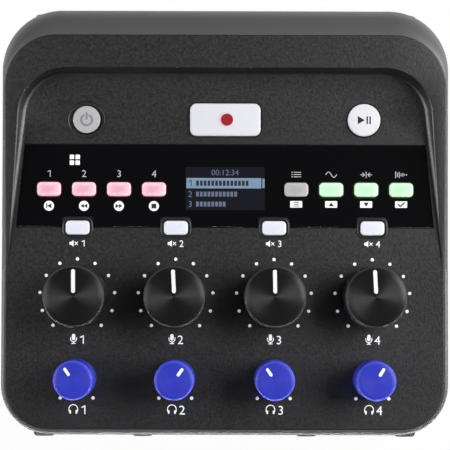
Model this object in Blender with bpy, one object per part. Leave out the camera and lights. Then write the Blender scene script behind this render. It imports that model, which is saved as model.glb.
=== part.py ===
"""A desktop podcast recorder: a wedge-shaped case with a recessed deck, four microphone channels,
four headphone outputs, backlit keys under a gloss window, and two cells in a bay underneath.

Units are metres. +X is to the right, +Y to the rear, +Z up, and the feet stand on z = 0.
Deck pieces are placed in the deck's own frame: x, then distance behind the cover's front edge,
then height above the deck.
"""

import math

import bmesh
import bpy
from mathutils import Matrix, Vector

# Clearances
GAP = 0.0003
SHAFT_PLAY = 0.0004
CUT_OVER = 0.0020
WELD = 0.000002
SHARP_ANGLE = math.radians(35)

# Case outline
BODY_WIDTH = 0.1228
BODY_DEPTH = 0.1164
BODY_CORNER_FRONT = 0.0138
BODY_CORNER_REAR = 0.0165
FRONT_HEIGHT = 0.0260
DECK_SLOPE = math.radians(6.0)
RIM_SLOPE = math.radians(12.0)
CREASE_BACK = 0.0437
BASE_ROUND = 0.0020
BASE_IN = 0.0008
WALL = 0.0022
REAR_WALL = 0.0046
FLOOR = 0.0020
LEDGE = 0.0010
SHELF = 0.0025

# Top cover
COVER_THICK = 0.0022
COVER_EDGE_ROUND = 0.0004
COVER_IN_SIDE = 0.0011
COVER_IN_FRONT = 0.0014
COVER_IN_REAR = 0.0087
COVER_CORNER_FRONT = 0.0122
COVER_CORNER_REAR = 0.0142

# Recess in the cover that holds the deck
RECESS_IN_SIDE = 0.0007
RIM_DEPTH = 0.008638
RECESS_CORNER = 0.0130
RECESS_LEAN = math.radians(3.4)
RECESS_LIP = 0.0006
SIDE_DRAFT = math.radians(24.0)
REAR_DRAFT = math.radians(8.0)
UNDER_OUT = 0.0012
UNDER_FROM = 0.0015
UNDER_FULL = 0.0045

# Feet
FOOT_HEIGHT = 0.0015
FOOT_SEAT = 0.0010
FOOT_LENGTH = 0.0760
FOOT_DEPTH = 0.0080
FOOT_IN_FRONT = 0.0090
FOOT_IN_REAR = 0.0120

# Channels
CHANNELS = 4
CHANNELS_IN_SIDE = 0.0074
PHONES_ROW_SHARE = 0.2032164
MIC_ROW_SHARE = 0.5307018
MUTE_ROW_SHARE = 0.8070175
MUTE_TO_PAD = 0.0106
PAD_TO_BAND_BACK = 0.0122
BAND_TO_TRANSPORT = 0.0070

# Knobs
KNOB_HEIGHT = 0.0140
KNOB_CLEAR = 0.0006
KNOB_CHAMFER = 0.0003
MIC_KNOB_TOP = 0.01656
MIC_KNOB_BASE = 0.0169
PHONES_KNOB_TOP = 0.0106
PHONES_KNOB_BASE = 0.0109
MIC_SHAFT = 0.0060
PHONES_SHAFT = 0.0060
POINTER_DEPTH = 0.0003
MIC_POINTER_FROM = 0.0009
MIC_POINTER_TO = 0.0073
MIC_POINTER_WIDTH = 0.0011
PHONES_POINTER_FROM = 0.0015
PHONES_POINTER_TO = 0.0041
PHONES_POINTER_WIDTH = 0.0009
MIC_ANGLES_DEG = (0.5, 3.0, 1.0, 3.0)
PHONES_ANGLES_DEG = (35.0, -36.0, 34.0, -32.0)

# Potentiometers
POT_SIDE = 0.0095
POT_HEIGHT = 0.0062
POT_FLOOR = 0.0012

# Keys
KEY_ROUND = 0.0003
FLANGE_OUT = 0.0009
FLANGE_THICK = 0.0008
STEM = 0.0032
SWITCH_SIDE = 0.0042
SWITCH_HEIGHT = 0.0035
TRANSPORT_IN_SIDE = 0.0232
RECORD_WIDTH = 0.0195
RECORD_DEPTH = 0.0091
RECORD_CORNER = 0.0015
RECORD_PROUD = 0.0011
RECORD_TRAVEL = 0.0005
PLAY_DIAMETER = 0.0091
PLAY_PROUD = 0.0009
PLAY_TRAVEL = 0.0005
POWER_DIAMETER = 0.0077
POWER_PROUD = 0.0005
POWER_TRAVEL = 0.0004
POWER_DISH = 0.0104
POWER_DISH_DEPTH = 0.0004
PAD_WIDTH_SHARE = 0.6964657
PAD_DEPTH = 0.0040
PAD_CORNER = 0.0009
PAD_PROUD = 0.0007
PAD_TRAVEL = 0.0004
PAD_INNER_OUT = 0.01957
PAD_IN_SIDE = 0.01297
MUTE_FRAME_OUT = 0.0009

# Gloss window and display
BAND_OVER_MUTE = 0.0003
BAND_SIDE_GAP = 0.0005
BAND_THICK = 0.0010
BAND_NOTCH_CORNER = 0.0012
SCREEN_WIDTH = 0.0230
SCREEN_DEPTH = 0.0125
GLASS_WIDTH = 0.0267
GLASS_DEPTH = 0.0170
GLASS_THICK = 0.0015
GLASS_SHIFT = 0.0017
HOLDER_LEG = 0.0024

# Boards
BOARD_THICK = 0.0016
PANEL_BOARD_IN_SIDE = 0.0089
PANEL_BOARD_FRONT = 0.0085
PANEL_BOARD_IN_REAR = 0.0067
BOARD_CORNER = 0.0020
BOARD_POST = 0.0050
BOARD_POST_FRONT_SHARE = 0.4955357
BOARD_POST_OUT_SHARE = 0.5235602
IO_BOARD_UNDER = 0.0080
IO_BOARD_IN = 0.0008
IO_BOARD_IN_REAR = 0.0312
IO_BOARD_CORNER = 0.0125
BOARD_BAY_OVER = 0.0080
IO_POST_IN_SIDE = 0.0174
IO_POST_IN_FRONT = 0.0282
IO_POST_IN_REAR = 0.0432

# Case screws
SCREW_IN_SIDE = 0.0084
SCREW_IN_FRONT = 0.0112
SCREW_IN_REAR = 0.0272
SCREW_SHANK = 0.0029
SCREW_HEAD = 0.0054
SCREW_HEAD_THICK = 0.0018
SCREW_HEAD_UP = 0.0060
SCREW_BITE = 0.0060
BOSS = 0.0070
BOSS_SPLIT = 0.0140
BOSS_ROOM = 0.0006

# Small jacks, 3.5 mm
JACK_COLLAR = 0.0059
JACK_BORE = 0.0036
JACK_BORE_DEPTH = 0.0140
JACK_WIDTH = 0.0065
JACK_HEIGHT = 0.0055
JACK_LENGTH = 0.0125
JACK_PROUD = 0.0004
SIDE_JACK_PROUD = 0.0012
JACK_NOSE = 0.0055
SIDE_JACK_NOSE = 0.0039
PHONES_JACK_SHARE = 0.8518519
PHONES_JACK_IN_SIDE = 0.0108
SIDE_JACK_IN_FRONT = 0.0327
SIDE_JACK_PITCH = 0.0111

# USB-C port and memory card, left side
USB_WIDTH = 0.00894
USB_HEIGHT = 0.0032
USB_LENGTH = 0.0073
USB_SHELL = 0.0003
USB_TONGUE = 0.0007
USB_TONGUE_WIDTH = 0.0067
USB_TONGUE_IN = 0.0008
USB_IN_FRONT = 0.0352
CARD_WIDTH = 0.0110
CARD_LENGTH = 0.0150
CARD_THICK = 0.0010
CARD_PROUD = 0.0012
CARD_Y = 0.0000
SOCKET_WALL = 0.0010
SOCKET_WIDTH = 0.0146
SOCKET_LENGTH = 0.0160

# XLR inputs, rear
XLR_UP = 0.0205
XLR_BARREL_SHARE = 0.921875
XLR_LENGTH = 0.0200
XLR_APART = 0.0014
XLR_FLANGE_HEIGHT = 0.0290
XLR_FLANGE_CORNER = 0.0040
XLR_FLANGE_THICK = 0.0015
XLR_MOUTH_SHARE = 0.8135593
XLR_INSERT_SHARE = 0.6652542
XLR_INSERT_BACK = 0.0004
XLR_GROOVE_DEPTH = 0.0130
XLR_CONTACT_SHARE = 0.1719745
XLR_CONTACT_DEPTH = 0.0100
XLR_CONTACT_RING_SHARE = 0.2929936
XLR_CONTACT_ANGLES_DEG = (30.0, 150.0, 270.0)
REAR_FLAT_DEPTH = 0.0023
REAR_FLAT_IN_SIDE = 0.0072
REAR_FLAT_CORNER = 0.0030

# Battery bay
CELLS = 2
CELL_DIAMETER = 0.0145
CELL_LENGTH = 0.0505
CELL_NUB = 0.0010
CELL_NUB_DIAMETER = 0.0055
CELL_EDGE = 0.0008
CELL_APART = 0.0008
CELL_ROOM = 0.0030
BAY_IN_REAR = 0.0482
BAY_WALL = 0.0012
BAY_SIDE_ROOM = 0.0006
LID_THICK = 0.0020
TAB_OUT = 0.0180
TAB_WIDTH = 0.0070
TAB_REACH = 0.0015
TAB_UP = 0.0009
TAB_THICK = 0.0008
TAB_SLOT = 0.0036
LATCH_WIDTH = 0.0120
LATCH_DEPTH = 0.0030
LATCH_SINK = 0.0008
LATCH_IN = 0.0060
LATCH_CORNER = 0.0010
CONTACT_PLATE = 0.0005
CONTACT_HEIGHT = 0.0110
SPRING_WIDE = 0.0070
SPRING_NARROW = 0.0045
BUTTON_CONTACT = 0.0060

# Counts of segments
CORNER_STEPS = 6
ROUND_STEPS = 3
LIP_STEPS = 4
KNOB_STEPS = 36
SMALL_KNOB_STEPS = 28
ROUND_HOLE_STEPS = 28
HOLE_STEPS = 16
KEY_CORNER_STEPS = 2
XLR_CORNER_STEPS = 5

# Worked out from the sizes above
HALF_WIDTH = BODY_WIDTH / 2
Y_REAR = BODY_DEPTH / 2
Y_FRONT = -Y_REAR
COVER_FRONT_Y = Y_FRONT + COVER_IN_FRONT
COVER_BACK_Y = Y_REAR - COVER_IN_REAR
RECESS_BACK = (COVER_BACK_Y - COVER_FRONT_Y - RIM_DEPTH) / math.cos(DECK_SLOPE)
KNOB_SPAN = RECESS_BACK - MUTE_TO_PAD - PAD_TO_BAND_BACK - BAND_TO_TRANSPORT
PHONES_ROW = KNOB_SPAN * PHONES_ROW_SHARE
MIC_ROW = KNOB_SPAN * MIC_ROW_SHARE
MUTE_ROW = KNOB_SPAN * MUTE_ROW_SHARE
PAD_ROW = MUTE_ROW + MUTE_TO_PAD
BAND_FRONT = MUTE_ROW + BAND_OVER_MUTE
BAND_BACK = PAD_ROW + PAD_TO_BAND_BACK
TRANSPORT_ROW = BAND_BACK + BAND_TO_TRANSPORT
CHANNEL_PITCH = (BODY_WIDTH - 2 * CHANNELS_IN_SIDE) / CHANNELS
TRANSPORT_OUT = HALF_WIDTH - TRANSPORT_IN_SIDE
PAD_PITCH = (HALF_WIDTH - PAD_IN_SIDE - PAD_INNER_OUT) / (CHANNELS - 1)
PAD_WIDTH = PAD_PITCH * PAD_WIDTH_SHARE
PAD_GROUP_OUT = PAD_INNER_OUT + PAD_PITCH * (CHANNELS - 1) / 2
CREASE_Y = COVER_FRONT_Y + CREASE_BACK * math.cos(DECK_SLOPE)
CREASE_Z = FRONT_HEIGHT + CREASE_BACK * math.sin(DECK_SLOPE)
FLOOR_TOP = FOOT_HEIGHT + FLOOR
PANEL_UNDER = -COVER_THICK * math.cos(DECK_SLOPE)
BOARD_TOP = PANEL_UNDER - 2 * GAP - POT_HEIGHT
SWITCH_TOP = BOARD_TOP + SWITCH_HEIGHT
KEY_FLANGE_TOP = PANEL_UNDER - GAP
MUTE_FRAME_WIDTH = PAD_WIDTH + 2 * MUTE_FRAME_OUT
MUTE_FRAME_DEPTH = PAD_DEPTH + 2 * MUTE_FRAME_OUT
PANEL_BOARD_HALF = HALF_WIDTH - PANEL_BOARD_IN_SIDE
PANEL_BOARD_BACK = RECESS_BACK - PANEL_BOARD_IN_REAR
BOARD_POST_OUT_FRONT = CHANNEL_PITCH
BOARD_POST_FRONT = PHONES_ROW + (MIC_ROW - PHONES_ROW) * BOARD_POST_FRONT_SHARE
BOARD_POST_OUT_BACK = TRANSPORT_OUT * BOARD_POST_OUT_SHARE
BOARD_POST_BACK = TRANSPORT_ROW
IO_BOARD_BACK = Y_REAR - IO_BOARD_IN_REAR
IO_POST_OUT = HALF_WIDTH - IO_POST_IN_SIDE
IO_POST_FRONT_Y = Y_FRONT + IO_POST_IN_FRONT
IO_POST_REAR_Y = Y_REAR - IO_POST_IN_REAR
PHONES_JACK_INNER = CHANNEL_PITCH * PHONES_JACK_SHARE
OUTER_POT_EDGE = CHANNEL_PITCH * (CHANNELS - 1) / 2 - POT_SIDE / 2
SCREW_OUT_FRONT = (PHONES_JACK_INNER + JACK_WIDTH / 2 + OUTER_POT_EDGE) / 2
SCREW_OUT_REAR = HALF_WIDTH - SCREW_IN_SIDE
SCREW_Y_FRONT = Y_FRONT + SCREW_IN_FRONT
SCREW_Y_REAR = Y_REAR - SCREW_IN_REAR
IO_BOARD_TOP = IO_BOARD_UNDER + BOARD_THICK
JACK_AXIS_Z = IO_BOARD_TOP + GAP + JACK_HEIGHT / 2
PHONES_JACK_OUTER = HALF_WIDTH - PHONES_JACK_IN_SIDE
SIDE_JACK_FRONT_Y = Y_FRONT + SIDE_JACK_IN_FRONT
SIDE_JACK_REAR_Y = SIDE_JACK_FRONT_Y + SIDE_JACK_PITCH
USB_Y = Y_FRONT + USB_IN_FRONT
XLR_FLANGE_WIDTH = CHANNEL_PITCH - XLR_APART
XLR_BARREL = XLR_FLANGE_WIDTH * XLR_BARREL_SHARE
XLR_MOUTH = XLR_BARREL * XLR_MOUTH_SHARE
XLR_INSERT = XLR_BARREL * XLR_INSERT_SHARE
XLR_CONTACT = XLR_INSERT * XLR_CONTACT_SHARE
XLR_CONTACT_RING = XLR_INSERT * XLR_CONTACT_RING_SHARE
REAR_FLAT_HALF = HALF_WIDTH - REAR_FLAT_IN_SIDE
JACK_WALL_IN = BASE_IN * (1 - (JACK_AXIS_Z - FOOT_HEIGHT) / (FRONT_HEIGHT - FOOT_HEIGHT))
LID_TOP = FOOT_HEIGHT + LID_THICK
CELL_Z = LID_TOP + GAP + CELL_DIAMETER / 2
BAY_Y = Y_REAR - BAY_IN_REAR
BAY_LENGTH = CELL_LENGTH + 2 * CELL_ROOM
BAY_DEPTH = CELLS * CELL_DIAMETER + (CELLS - 1) * CELL_APART + 2 * BAY_SIDE_ROOM
BAY_TOP = CELL_Z + CELL_DIAMETER / 2 + GAP
BAY_FRONT_Y = BAY_Y - BAY_DEPTH / 2

# Finishes: colour, roughness and metallic value
FINISHES = {
    "cover": ((0.033, 0.033, 0.034, 1.0), 0.62, 0.0),
    "case": ((0.070, 0.068, 0.070, 1.0), 0.38, 0.0),
    "knob": ((0.012, 0.012, 0.013, 1.0), 0.34, 0.0),
    "blue": ((0.040, 0.058, 0.520, 1.0), 0.42, 0.0),
    "white": ((0.800, 0.800, 0.840, 1.0), 0.45, 0.0),
    "grey": ((0.460, 0.460, 0.470, 1.0), 0.45, 0.0),
    "pink": ((0.860, 0.520, 0.640, 1.0), 0.40, 0.0),
    "green": ((0.550, 0.930, 0.620, 1.0), 0.40, 0.0),
    "window": ((0.008, 0.009, 0.014, 1.0), 0.08, 0.0),
    "screen": ((0.008, 0.009, 0.014, 1.0), 0.15, 0.0),
    "board": ((0.020, 0.120, 0.050, 1.0), 0.50, 0.0),
    "pot": ((0.560, 0.560, 0.580, 1.0), 0.40, 0.9),
    "jack": ((0.012, 0.012, 0.013, 1.0), 0.45, 0.0),
    "steel": ((0.560, 0.560, 0.580, 1.0), 0.30, 1.0),
    "cell": ((0.200, 0.210, 0.230, 1.0), 0.35, 0.5),
    "rubber": ((0.020, 0.020, 0.020, 1.0), 0.85, 0.0),
}


def clear_scene():
    for obj in list(bpy.data.objects):
        bpy.data.objects.remove(obj)


def material(name, colour, roughness, metallic):
    made = bpy.data.materials.new(name)
    made.use_nodes = True
    shader = made.node_tree.nodes["Principled BSDF"]
    shader.inputs["Base Color"].default_value = colour
    shader.inputs["Roughness"].default_value = roughness
    shader.inputs["Metallic"].default_value = metallic
    made.diffuse_color = colour
    return made


def node(name, shape, made, place=(0, 0, 0), turn=(0, 0, 0), parent=None):
    """Turns the bmesh into an object with its own material, shaded smooth up to sharp edges."""
    bmesh.ops.recalc_face_normals(shape, faces=shape.faces)
    mesh = bpy.data.meshes.new(name)
    shape.to_mesh(mesh)
    shape.free()
    mesh.shade_smooth()
    mesh.set_sharp_from_angle(angle=SHARP_ANGLE)
    obj = bpy.data.objects.new(name, mesh)
    bpy.context.scene.collection.objects.link(obj)
    if made:
        mesh.materials.append(made)
    obj.location = place
    obj.rotation_euler = turn
    obj.parent = parent
    return obj


def helper(name, shape, parent=None, place=(0, 0, 0), turn=(0, 0, 0)):
    """A solid used only by a Boolean: it isn't rendered and shows as wire."""
    obj = node(name, shape, None, place, turn, parent)
    obj.hide_render = True
    obj.display_type = "WIRE"
    return obj


def boolean(obj, other, operation):
    step = obj.modifiers.new(other.name, "BOOLEAN")
    step.operation = operation
    step.solver = "EXACT"
    step.object = other


def cut(obj, other):
    boolean(obj, other, "DIFFERENCE")


def fuse(obj, other):
    boolean(obj, other, "UNION")


def add_rings(shape, rings, matrix=None):
    """Adds a closed solid: rings of equal count, joined one to the next and capped at both ends."""
    place = matrix or Matrix.Identity(4)
    loops = [[shape.verts.new(place @ Vector(point)) for point in ring] for ring in rings]
    for lower, upper in zip(loops, loops[1:]):
        for i in range(len(lower)):
            j = (i + 1) % len(lower)
            shape.faces.new((lower[i], lower[j], upper[j], upper[i]))
    shape.faces.new(list(reversed(loops[0])))
    shape.faces.new(loops[-1])
    return shape


def circle(diameter, z, steps=HOLE_STEPS, centre=(0, 0)):
    ring = []
    for i in range(steps):
        angle = 2 * math.pi * (i + 0.5) / steps
        x = centre[0] + diameter / 2 * math.cos(angle)
        y = centre[1] + diameter / 2 * math.sin(angle)
        ring.append((x, y, z))
    return ring


def rounded(width, depth, corner, z, steps=KEY_CORNER_STEPS, centre=(0, 0)):
    """A rectangle with round corners, anticlockwise, with steps + 1 points on each corner."""
    ring = []
    for quarter in range(4):
        sign_x = 1 if quarter in (0, 3) else -1
        sign_y = 1 if quarter in (0, 1) else -1
        middle_x = centre[0] + sign_x * (width / 2 - corner)
        middle_y = centre[1] + sign_y * (depth / 2 - corner)
        for i in range(steps + 1):
            angle = math.pi / 2 * (quarter + i / steps)
            ring.append((middle_x + corner * math.cos(angle), middle_y + corner * math.sin(angle), z))
    return ring


def add_cylinder(shape, diameter, low, high, centre=(0, 0), steps=HOLE_STEPS, matrix=None):
    rings = [circle(diameter, z, steps, centre) for z in (low, high)]
    return add_rings(shape, rings, matrix)


def add_block(shape, width, depth, low, high, centre=(0, 0), corner=None, matrix=None):
    """A block, with round upright corners where a corner radius is given."""
    x, y = centre
    if corner:
        rings = [rounded(width, depth, corner, z, centre=centre) for z in (low, high)]
    else:
        sides = ((1, 1), (-1, 1), (-1, -1), (1, -1))
        rings = [[(x + a * width / 2, y + b * depth / 2, z) for a, b in sides] for z in (low, high)]
    return add_rings(shape, rings, matrix)


def channel_x(index):
    return (index - (CHANNELS - 1) / 2) * CHANNEL_PITCH


def deck_z(y):
    """Height of the deck's plane at a distance along the case."""
    return FRONT_HEIGHT + (y - COVER_FRONT_Y) * math.tan(DECK_SLOPE)


def top_z(y):
    """Height of the cover's upper surface, which steepens behind the crease."""
    return deck_z(y) if y <= CREASE_Y else CREASE_Z + (y - CREASE_Y) * math.tan(RIM_SLOPE)


def plan_loop(half, front, rear, corner_front, corner_rear, lean=0.0):
    """Plan outline as (x, y, angle of the outward normal), with a point on each side at the crease.

    Behind the crease the sides lean inwards by the given angle.
    """
    right = [(0, front, -math.pi / 2)]
    for i in range(CORNER_STEPS + 1):
        angle = -math.pi / 2 * (1 - i / CORNER_STEPS)
        x = half - corner_front + corner_front * math.cos(angle)
        y = front + corner_front + corner_front * math.sin(angle)
        right.append((x, y, angle))
    right.append((half, CREASE_Y, 0.0))
    middle_y = rear - corner_rear
    side = half * math.cos(lean) + CREASE_Y * math.sin(lean)
    middle_x = (side - corner_rear - middle_y * math.sin(lean)) / math.cos(lean)
    for i in range(CORNER_STEPS + 1):
        angle = lean + (math.pi / 2 - lean) * i / CORNER_STEPS
        x = middle_x + corner_rear * math.cos(angle)
        y = middle_y + corner_rear * math.sin(angle)
        right.append((x, y, angle))
    right.append((0, rear, math.pi / 2))
    left = [(-x, y, math.pi - angle) for x, y, angle in reversed(right[1:-1])]
    return right + left


def moved(loop, out):
    """The loop with each point moved outwards by a distance, or by its own distance from a list."""
    steps = out if isinstance(out, list) else [out] * len(loop)
    return [
        (x + step * math.cos(angle), y + step * math.sin(angle), angle)
        for (x, y, angle), step in zip(loop, steps)
    ]


def at_height(loop, height):
    """A ring of points from a loop and a height, a function of y or a number."""
    return [(x, y, height(y) if callable(height) else height) for x, y, _ in loop]


def body_loop(inset=0.0):
    return plan_loop(
        HALF_WIDTH - inset,
        Y_FRONT + inset,
        Y_REAR - inset,
        BODY_CORNER_FRONT - inset,
        BODY_CORNER_REAR - inset,
    )


def cover_loop(out=0.0):
    return plan_loop(
        HALF_WIDTH - COVER_IN_SIDE + out,
        COVER_FRONT_Y - out,
        COVER_BACK_Y + out,
        COVER_CORNER_FRONT + out,
        COVER_CORNER_REAR + out,
    )


def recess_loop():
    inset = COVER_IN_SIDE + RECESS_IN_SIDE
    return plan_loop(
        HALF_WIDTH - inset,
        COVER_FRONT_Y + RECESS_IN_SIDE,
        COVER_FRONT_Y + RECESS_BACK * math.cos(DECK_SLOPE),
        COVER_CORNER_FRONT - RECESS_IN_SIDE,
        RECESS_CORNER,
        RECESS_LEAN,
    )


def recess_depth(y):
    return top_z(y) - deck_z(y)


def recess_run(y, angle):
    """How far the recess wall comes inwards on its way down to the deck."""
    side, rear = math.cos(angle) ** 2, math.sin(angle) ** 2
    return recess_depth(y) * (side * math.tan(SIDE_DRAFT) + rear * math.tan(REAR_DRAFT))


def deck_half(back):
    """Half the deck's width at a distance behind the cover's front edge."""
    y = COVER_FRONT_Y + back * math.cos(DECK_SLOPE)
    upper = HALF_WIDTH - COVER_IN_SIDE - RECESS_IN_SIDE - (y - CREASE_Y) * math.tan(RECESS_LEAN)
    return upper - recess_run(y, 0.0)


def screw_places():
    front = [(side * SCREW_OUT_FRONT, SCREW_Y_FRONT) for side in (-1, 1)]
    rear = [(side * SCREW_OUT_REAR, SCREW_Y_REAR) for side in (-1, 1)]
    return front + rear


def board_post_places():
    front = [(side * BOARD_POST_OUT_FRONT, BOARD_POST_FRONT) for side in (-1, 1)]
    back = [(side * BOARD_POST_OUT_BACK, BOARD_POST_BACK) for side in (-1, 1)]
    return front + back


def io_post_places():
    return [(side * IO_POST_OUT, y) for side in (-1, 1) for y in (IO_POST_FRONT_Y, IO_POST_REAR_Y)]


def phones_jack_places():
    return (-PHONES_JACK_OUTER, -PHONES_JACK_INNER, PHONES_JACK_INNER, PHONES_JACK_OUTER)


def off_deck(x, y, height):
    """Where the upright line through (x, y) crosses a height in the deck's frame."""
    return (x, (y - COVER_FRONT_Y) / math.cos(DECK_SLOPE) + height * math.tan(DECK_SLOPE))


def keys():
    """Every key as (name, x, back, width, depth, corner, proud, travel, material)."""
    found = [
        ("power_button", -TRANSPORT_OUT, TRANSPORT_ROW, POWER_DIAMETER, POWER_DIAMETER,
         POWER_DIAMETER / 2, POWER_PROUD, POWER_TRAVEL, "grey"),
        ("record_button", 0, TRANSPORT_ROW, RECORD_WIDTH, RECORD_DEPTH,
         RECORD_CORNER, RECORD_PROUD, RECORD_TRAVEL, "white"),
        ("play_button", TRANSPORT_OUT, TRANSPORT_ROW, PLAY_DIAMETER, PLAY_DIAMETER,
         PLAY_DIAMETER / 2, PLAY_PROUD, PLAY_TRAVEL, "white"),
    ]
    right_names = ("menu_button", "function_button_1", "function_button_2", "function_button_3")
    for i in range(CHANNELS):
        size = (PAD_WIDTH, PAD_DEPTH, PAD_CORNER, PAD_PROUD, PAD_TRAVEL)
        along = (i - (CHANNELS - 1) / 2) * PAD_PITCH
        found.append((f"sound_pad_{i + 1}", -PAD_GROUP_OUT + along, PAD_ROW, *size, "pink"))
        glow = "grey" if i == 0 else "green"
        found.append((right_names[i], PAD_GROUP_OUT + along, PAD_ROW, *size, glow))
        found.append((f"mute_button_{i + 1}", channel_x(i), MUTE_ROW, *size, "white"))
    return found


def key_steps(corner, width):
    """Round keys get a full circle's worth of points, the others only their corners'."""
    return 2 * KEY_CORNER_STEPS if corner * 2 >= width else KEY_CORNER_STEPS


def paint(name, kind):
    return material(f"{name}_finish", *FINISHES[kind])


def make_cover(deck):
    upper = recess_loop()
    depths = [recess_depth(y) for _, y, _ in upper]
    lips = [min(RECESS_LIP, depth / 2) for depth in depths]
    runs = [recess_run(y, angle) for _, y, angle in upper]
    lower = moved(upper, [-run for run in runs])
    share_out = [(depth - UNDER_FROM) / (UNDER_FULL - UNDER_FROM) for depth in depths]
    under_out = [UNDER_OUT * min(1, max(0, share)) for share in share_out]
    outer = cover_loop()

    rings = [at_height(lower, deck_z)]
    for i in range(ROUND_STEPS + 1):
        angle = math.pi / 2 * i / ROUND_STEPS
        loop = moved(upper, [lip * (1 - math.cos(angle)) for lip in lips])
        drops = [lip * (1 - math.sin(angle)) for lip in lips]
        base = [top_z(y) for _, y, _ in upper]
        ring = [(x, y, z - drop) for (x, y, _), z, drop in zip(loop, base, drops)]
        rings.append(ring)
    edge = moved(outer, -COVER_EDGE_ROUND)
    rings.append(at_height(edge, top_z))
    rings.append(at_height(outer, lambda y: top_z(y) - COVER_EDGE_ROUND))
    rings.append(at_height(outer, lambda y: top_z(y) - COVER_THICK))
    under = moved(upper, under_out)
    rings.append([(x, y, top_z(point[1]) - COVER_THICK) for (x, y, _), point in zip(under, upper)])
    rings.append(at_height(moved(lower, under_out), lambda y: deck_z(y) - COVER_THICK))
    shape = add_rings(bmesh.new(), rings)
    bmesh.ops.remove_doubles(shape, verts=shape.verts, dist=WELD)
    cover = node("top_cover", shape, paint("top_cover", "cover"))

    bosses = bmesh.new()
    for x, y in screw_places():
        add_cylinder(bosses, BOSS, BOSS_SPLIT + GAP, deck_z(y) - COVER_THICK / 2, (x, y))
    fuse(cover, helper("cover_bosses", bosses))
    posts = bmesh.new()
    for place in board_post_places():
        add_cylinder(posts, BOARD_POST, BOARD_TOP + GAP, PANEL_UNDER / 2, place)
    fuse(cover, helper("cover_board_posts", posts, deck))

    pocket = add_rings(bmesh.new(), [band_ring(GAP, z) for z in (-BAND_THICK - GAP, CUT_OVER)])
    cut(cover, helper("cover_window_pocket", pocket, deck))
    holes = bmesh.new()
    for _, x, back, width, depth, corner, *_ in keys():
        size = (width + 2 * GAP, depth + 2 * GAP, corner + GAP)
        steps = key_steps(corner, width)
        ends = (PANEL_UNDER - CUT_OVER, CUT_OVER)
        add_rings(holes, [rounded(*size, z, steps, (x, back)) for z in ends])
    for i in range(CHANNELS):
        for shaft, back in ((MIC_SHAFT, MIC_ROW), (PHONES_SHAFT, PHONES_ROW)):
            hole = shaft + 2 * SHAFT_PLAY
            add_cylinder(holes, hole, PANEL_UNDER - CUT_OVER, CUT_OVER, (channel_x(i), back))
    add_block(holes, SCREEN_WIDTH, SCREEN_DEPTH, PANEL_UNDER - CUT_OVER, CUT_OVER, (0, PAD_ROW))
    cut(cover, helper("cover_deck_holes", holes, deck))
    dish = bmesh.new()
    rings = [
        circle(POWER_DIAMETER + 2 * GAP, -POWER_DISH_DEPTH, ROUND_HOLE_STEPS),
        circle(POWER_DISH, 0, ROUND_HOLE_STEPS),
        circle(POWER_DISH, CUT_OVER, ROUND_HOLE_STEPS),
    ]
    add_rings(dish, rings, Matrix.Translation((-TRANSPORT_OUT, TRANSPORT_ROW, 0)))
    cut(cover, helper("cover_power_dish", dish, deck))
    pilots = bmesh.new()
    for place in screw_places():
        high = BOSS_SPLIT + SCREW_BITE + GAP
        add_cylinder(pilots, SCREW_SHANK + 2 * GAP, BOSS_SPLIT - CUT_OVER, high, place)
    cut(cover, helper("cover_screw_holes", pilots))
    return cover


def band_ring(grow, z):
    """The gloss window's outline, with a notch for each mute key's frame, grown by a clearance."""
    front, back = BAND_FRONT - grow, BAND_BACK + grow
    half_notch = MUTE_FRAME_WIDTH / 2 + GAP - grow
    notch_top = MUTE_ROW + MUTE_FRAME_DEPTH / 2 + GAP - grow
    points = []
    for i in range(CHANNELS):
        middle = channel_x(i)
        points.append((middle - half_notch, front, z))
        for side, start in ((-1, math.pi), (1, math.pi / 2)):
            x = middle + side * (half_notch - BAND_NOTCH_CORNER)
            y = notch_top - BAND_NOTCH_CORNER
            for k in range(KEY_CORNER_STEPS + 1):
                angle = start - math.pi / 2 * k / KEY_CORNER_STEPS
                reach_x = BAND_NOTCH_CORNER * math.cos(angle)
                points.append((x + reach_x, y + BAND_NOTCH_CORNER * math.sin(angle), z))
        points.append((middle + half_notch, front, z))
    sides = [
        (deck_half(BAND_FRONT) - BAND_SIDE_GAP + grow, front),
        (deck_half(BAND_BACK) - BAND_SIDE_GAP + grow, back),
    ]
    points += [(x, y, z) for x, y in sides]
    points += [(-x, y, z) for x, y in reversed(sides)]
    return points


def make_window(deck):
    shape = add_rings(bmesh.new(), [band_ring(0.0, z) for z in (-BAND_THICK, 0.0)])
    window = node("window_panel", shape, paint("window_panel", "window"), parent=deck)
    holes = bmesh.new()
    for _, x, back, width, depth, corner, *_ in keys():
        if back == PAD_ROW:
            size = (width + 2 * GAP, depth + 2 * GAP, corner + GAP)
            ends = (-BAND_THICK - CUT_OVER, CUT_OVER)
            add_rings(holes, [rounded(*size, z, centre=(x, back)) for z in ends])
    cut(window, helper("window_key_holes", holes, deck))


def make_display(deck):
    top = KEY_FLANGE_TOP
    shape = add_block(bmesh.new(), GLASS_WIDTH, GLASS_DEPTH, top - GLASS_THICK, top)
    place = (0, PAD_ROW + GLASS_SHIFT, 0)
    display = node("display_module", shape, paint("display_module", "screen"), place, parent=deck)
    legs = bmesh.new()
    for side_x in (-1, 1):
        for side_y in (-1, 1):
            x = side_x * (GLASS_WIDTH - HOLDER_LEG) / 2
            y = side_y * (GLASS_DEPTH - HOLDER_LEG) / 2
            low, high = BOARD_TOP + GAP, top - GLASS_THICK / 2
            add_block(legs, HOLDER_LEG, HOLDER_LEG, low, high, (x, y))
    fuse(display, helper("display_legs", legs, deck, place))


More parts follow.
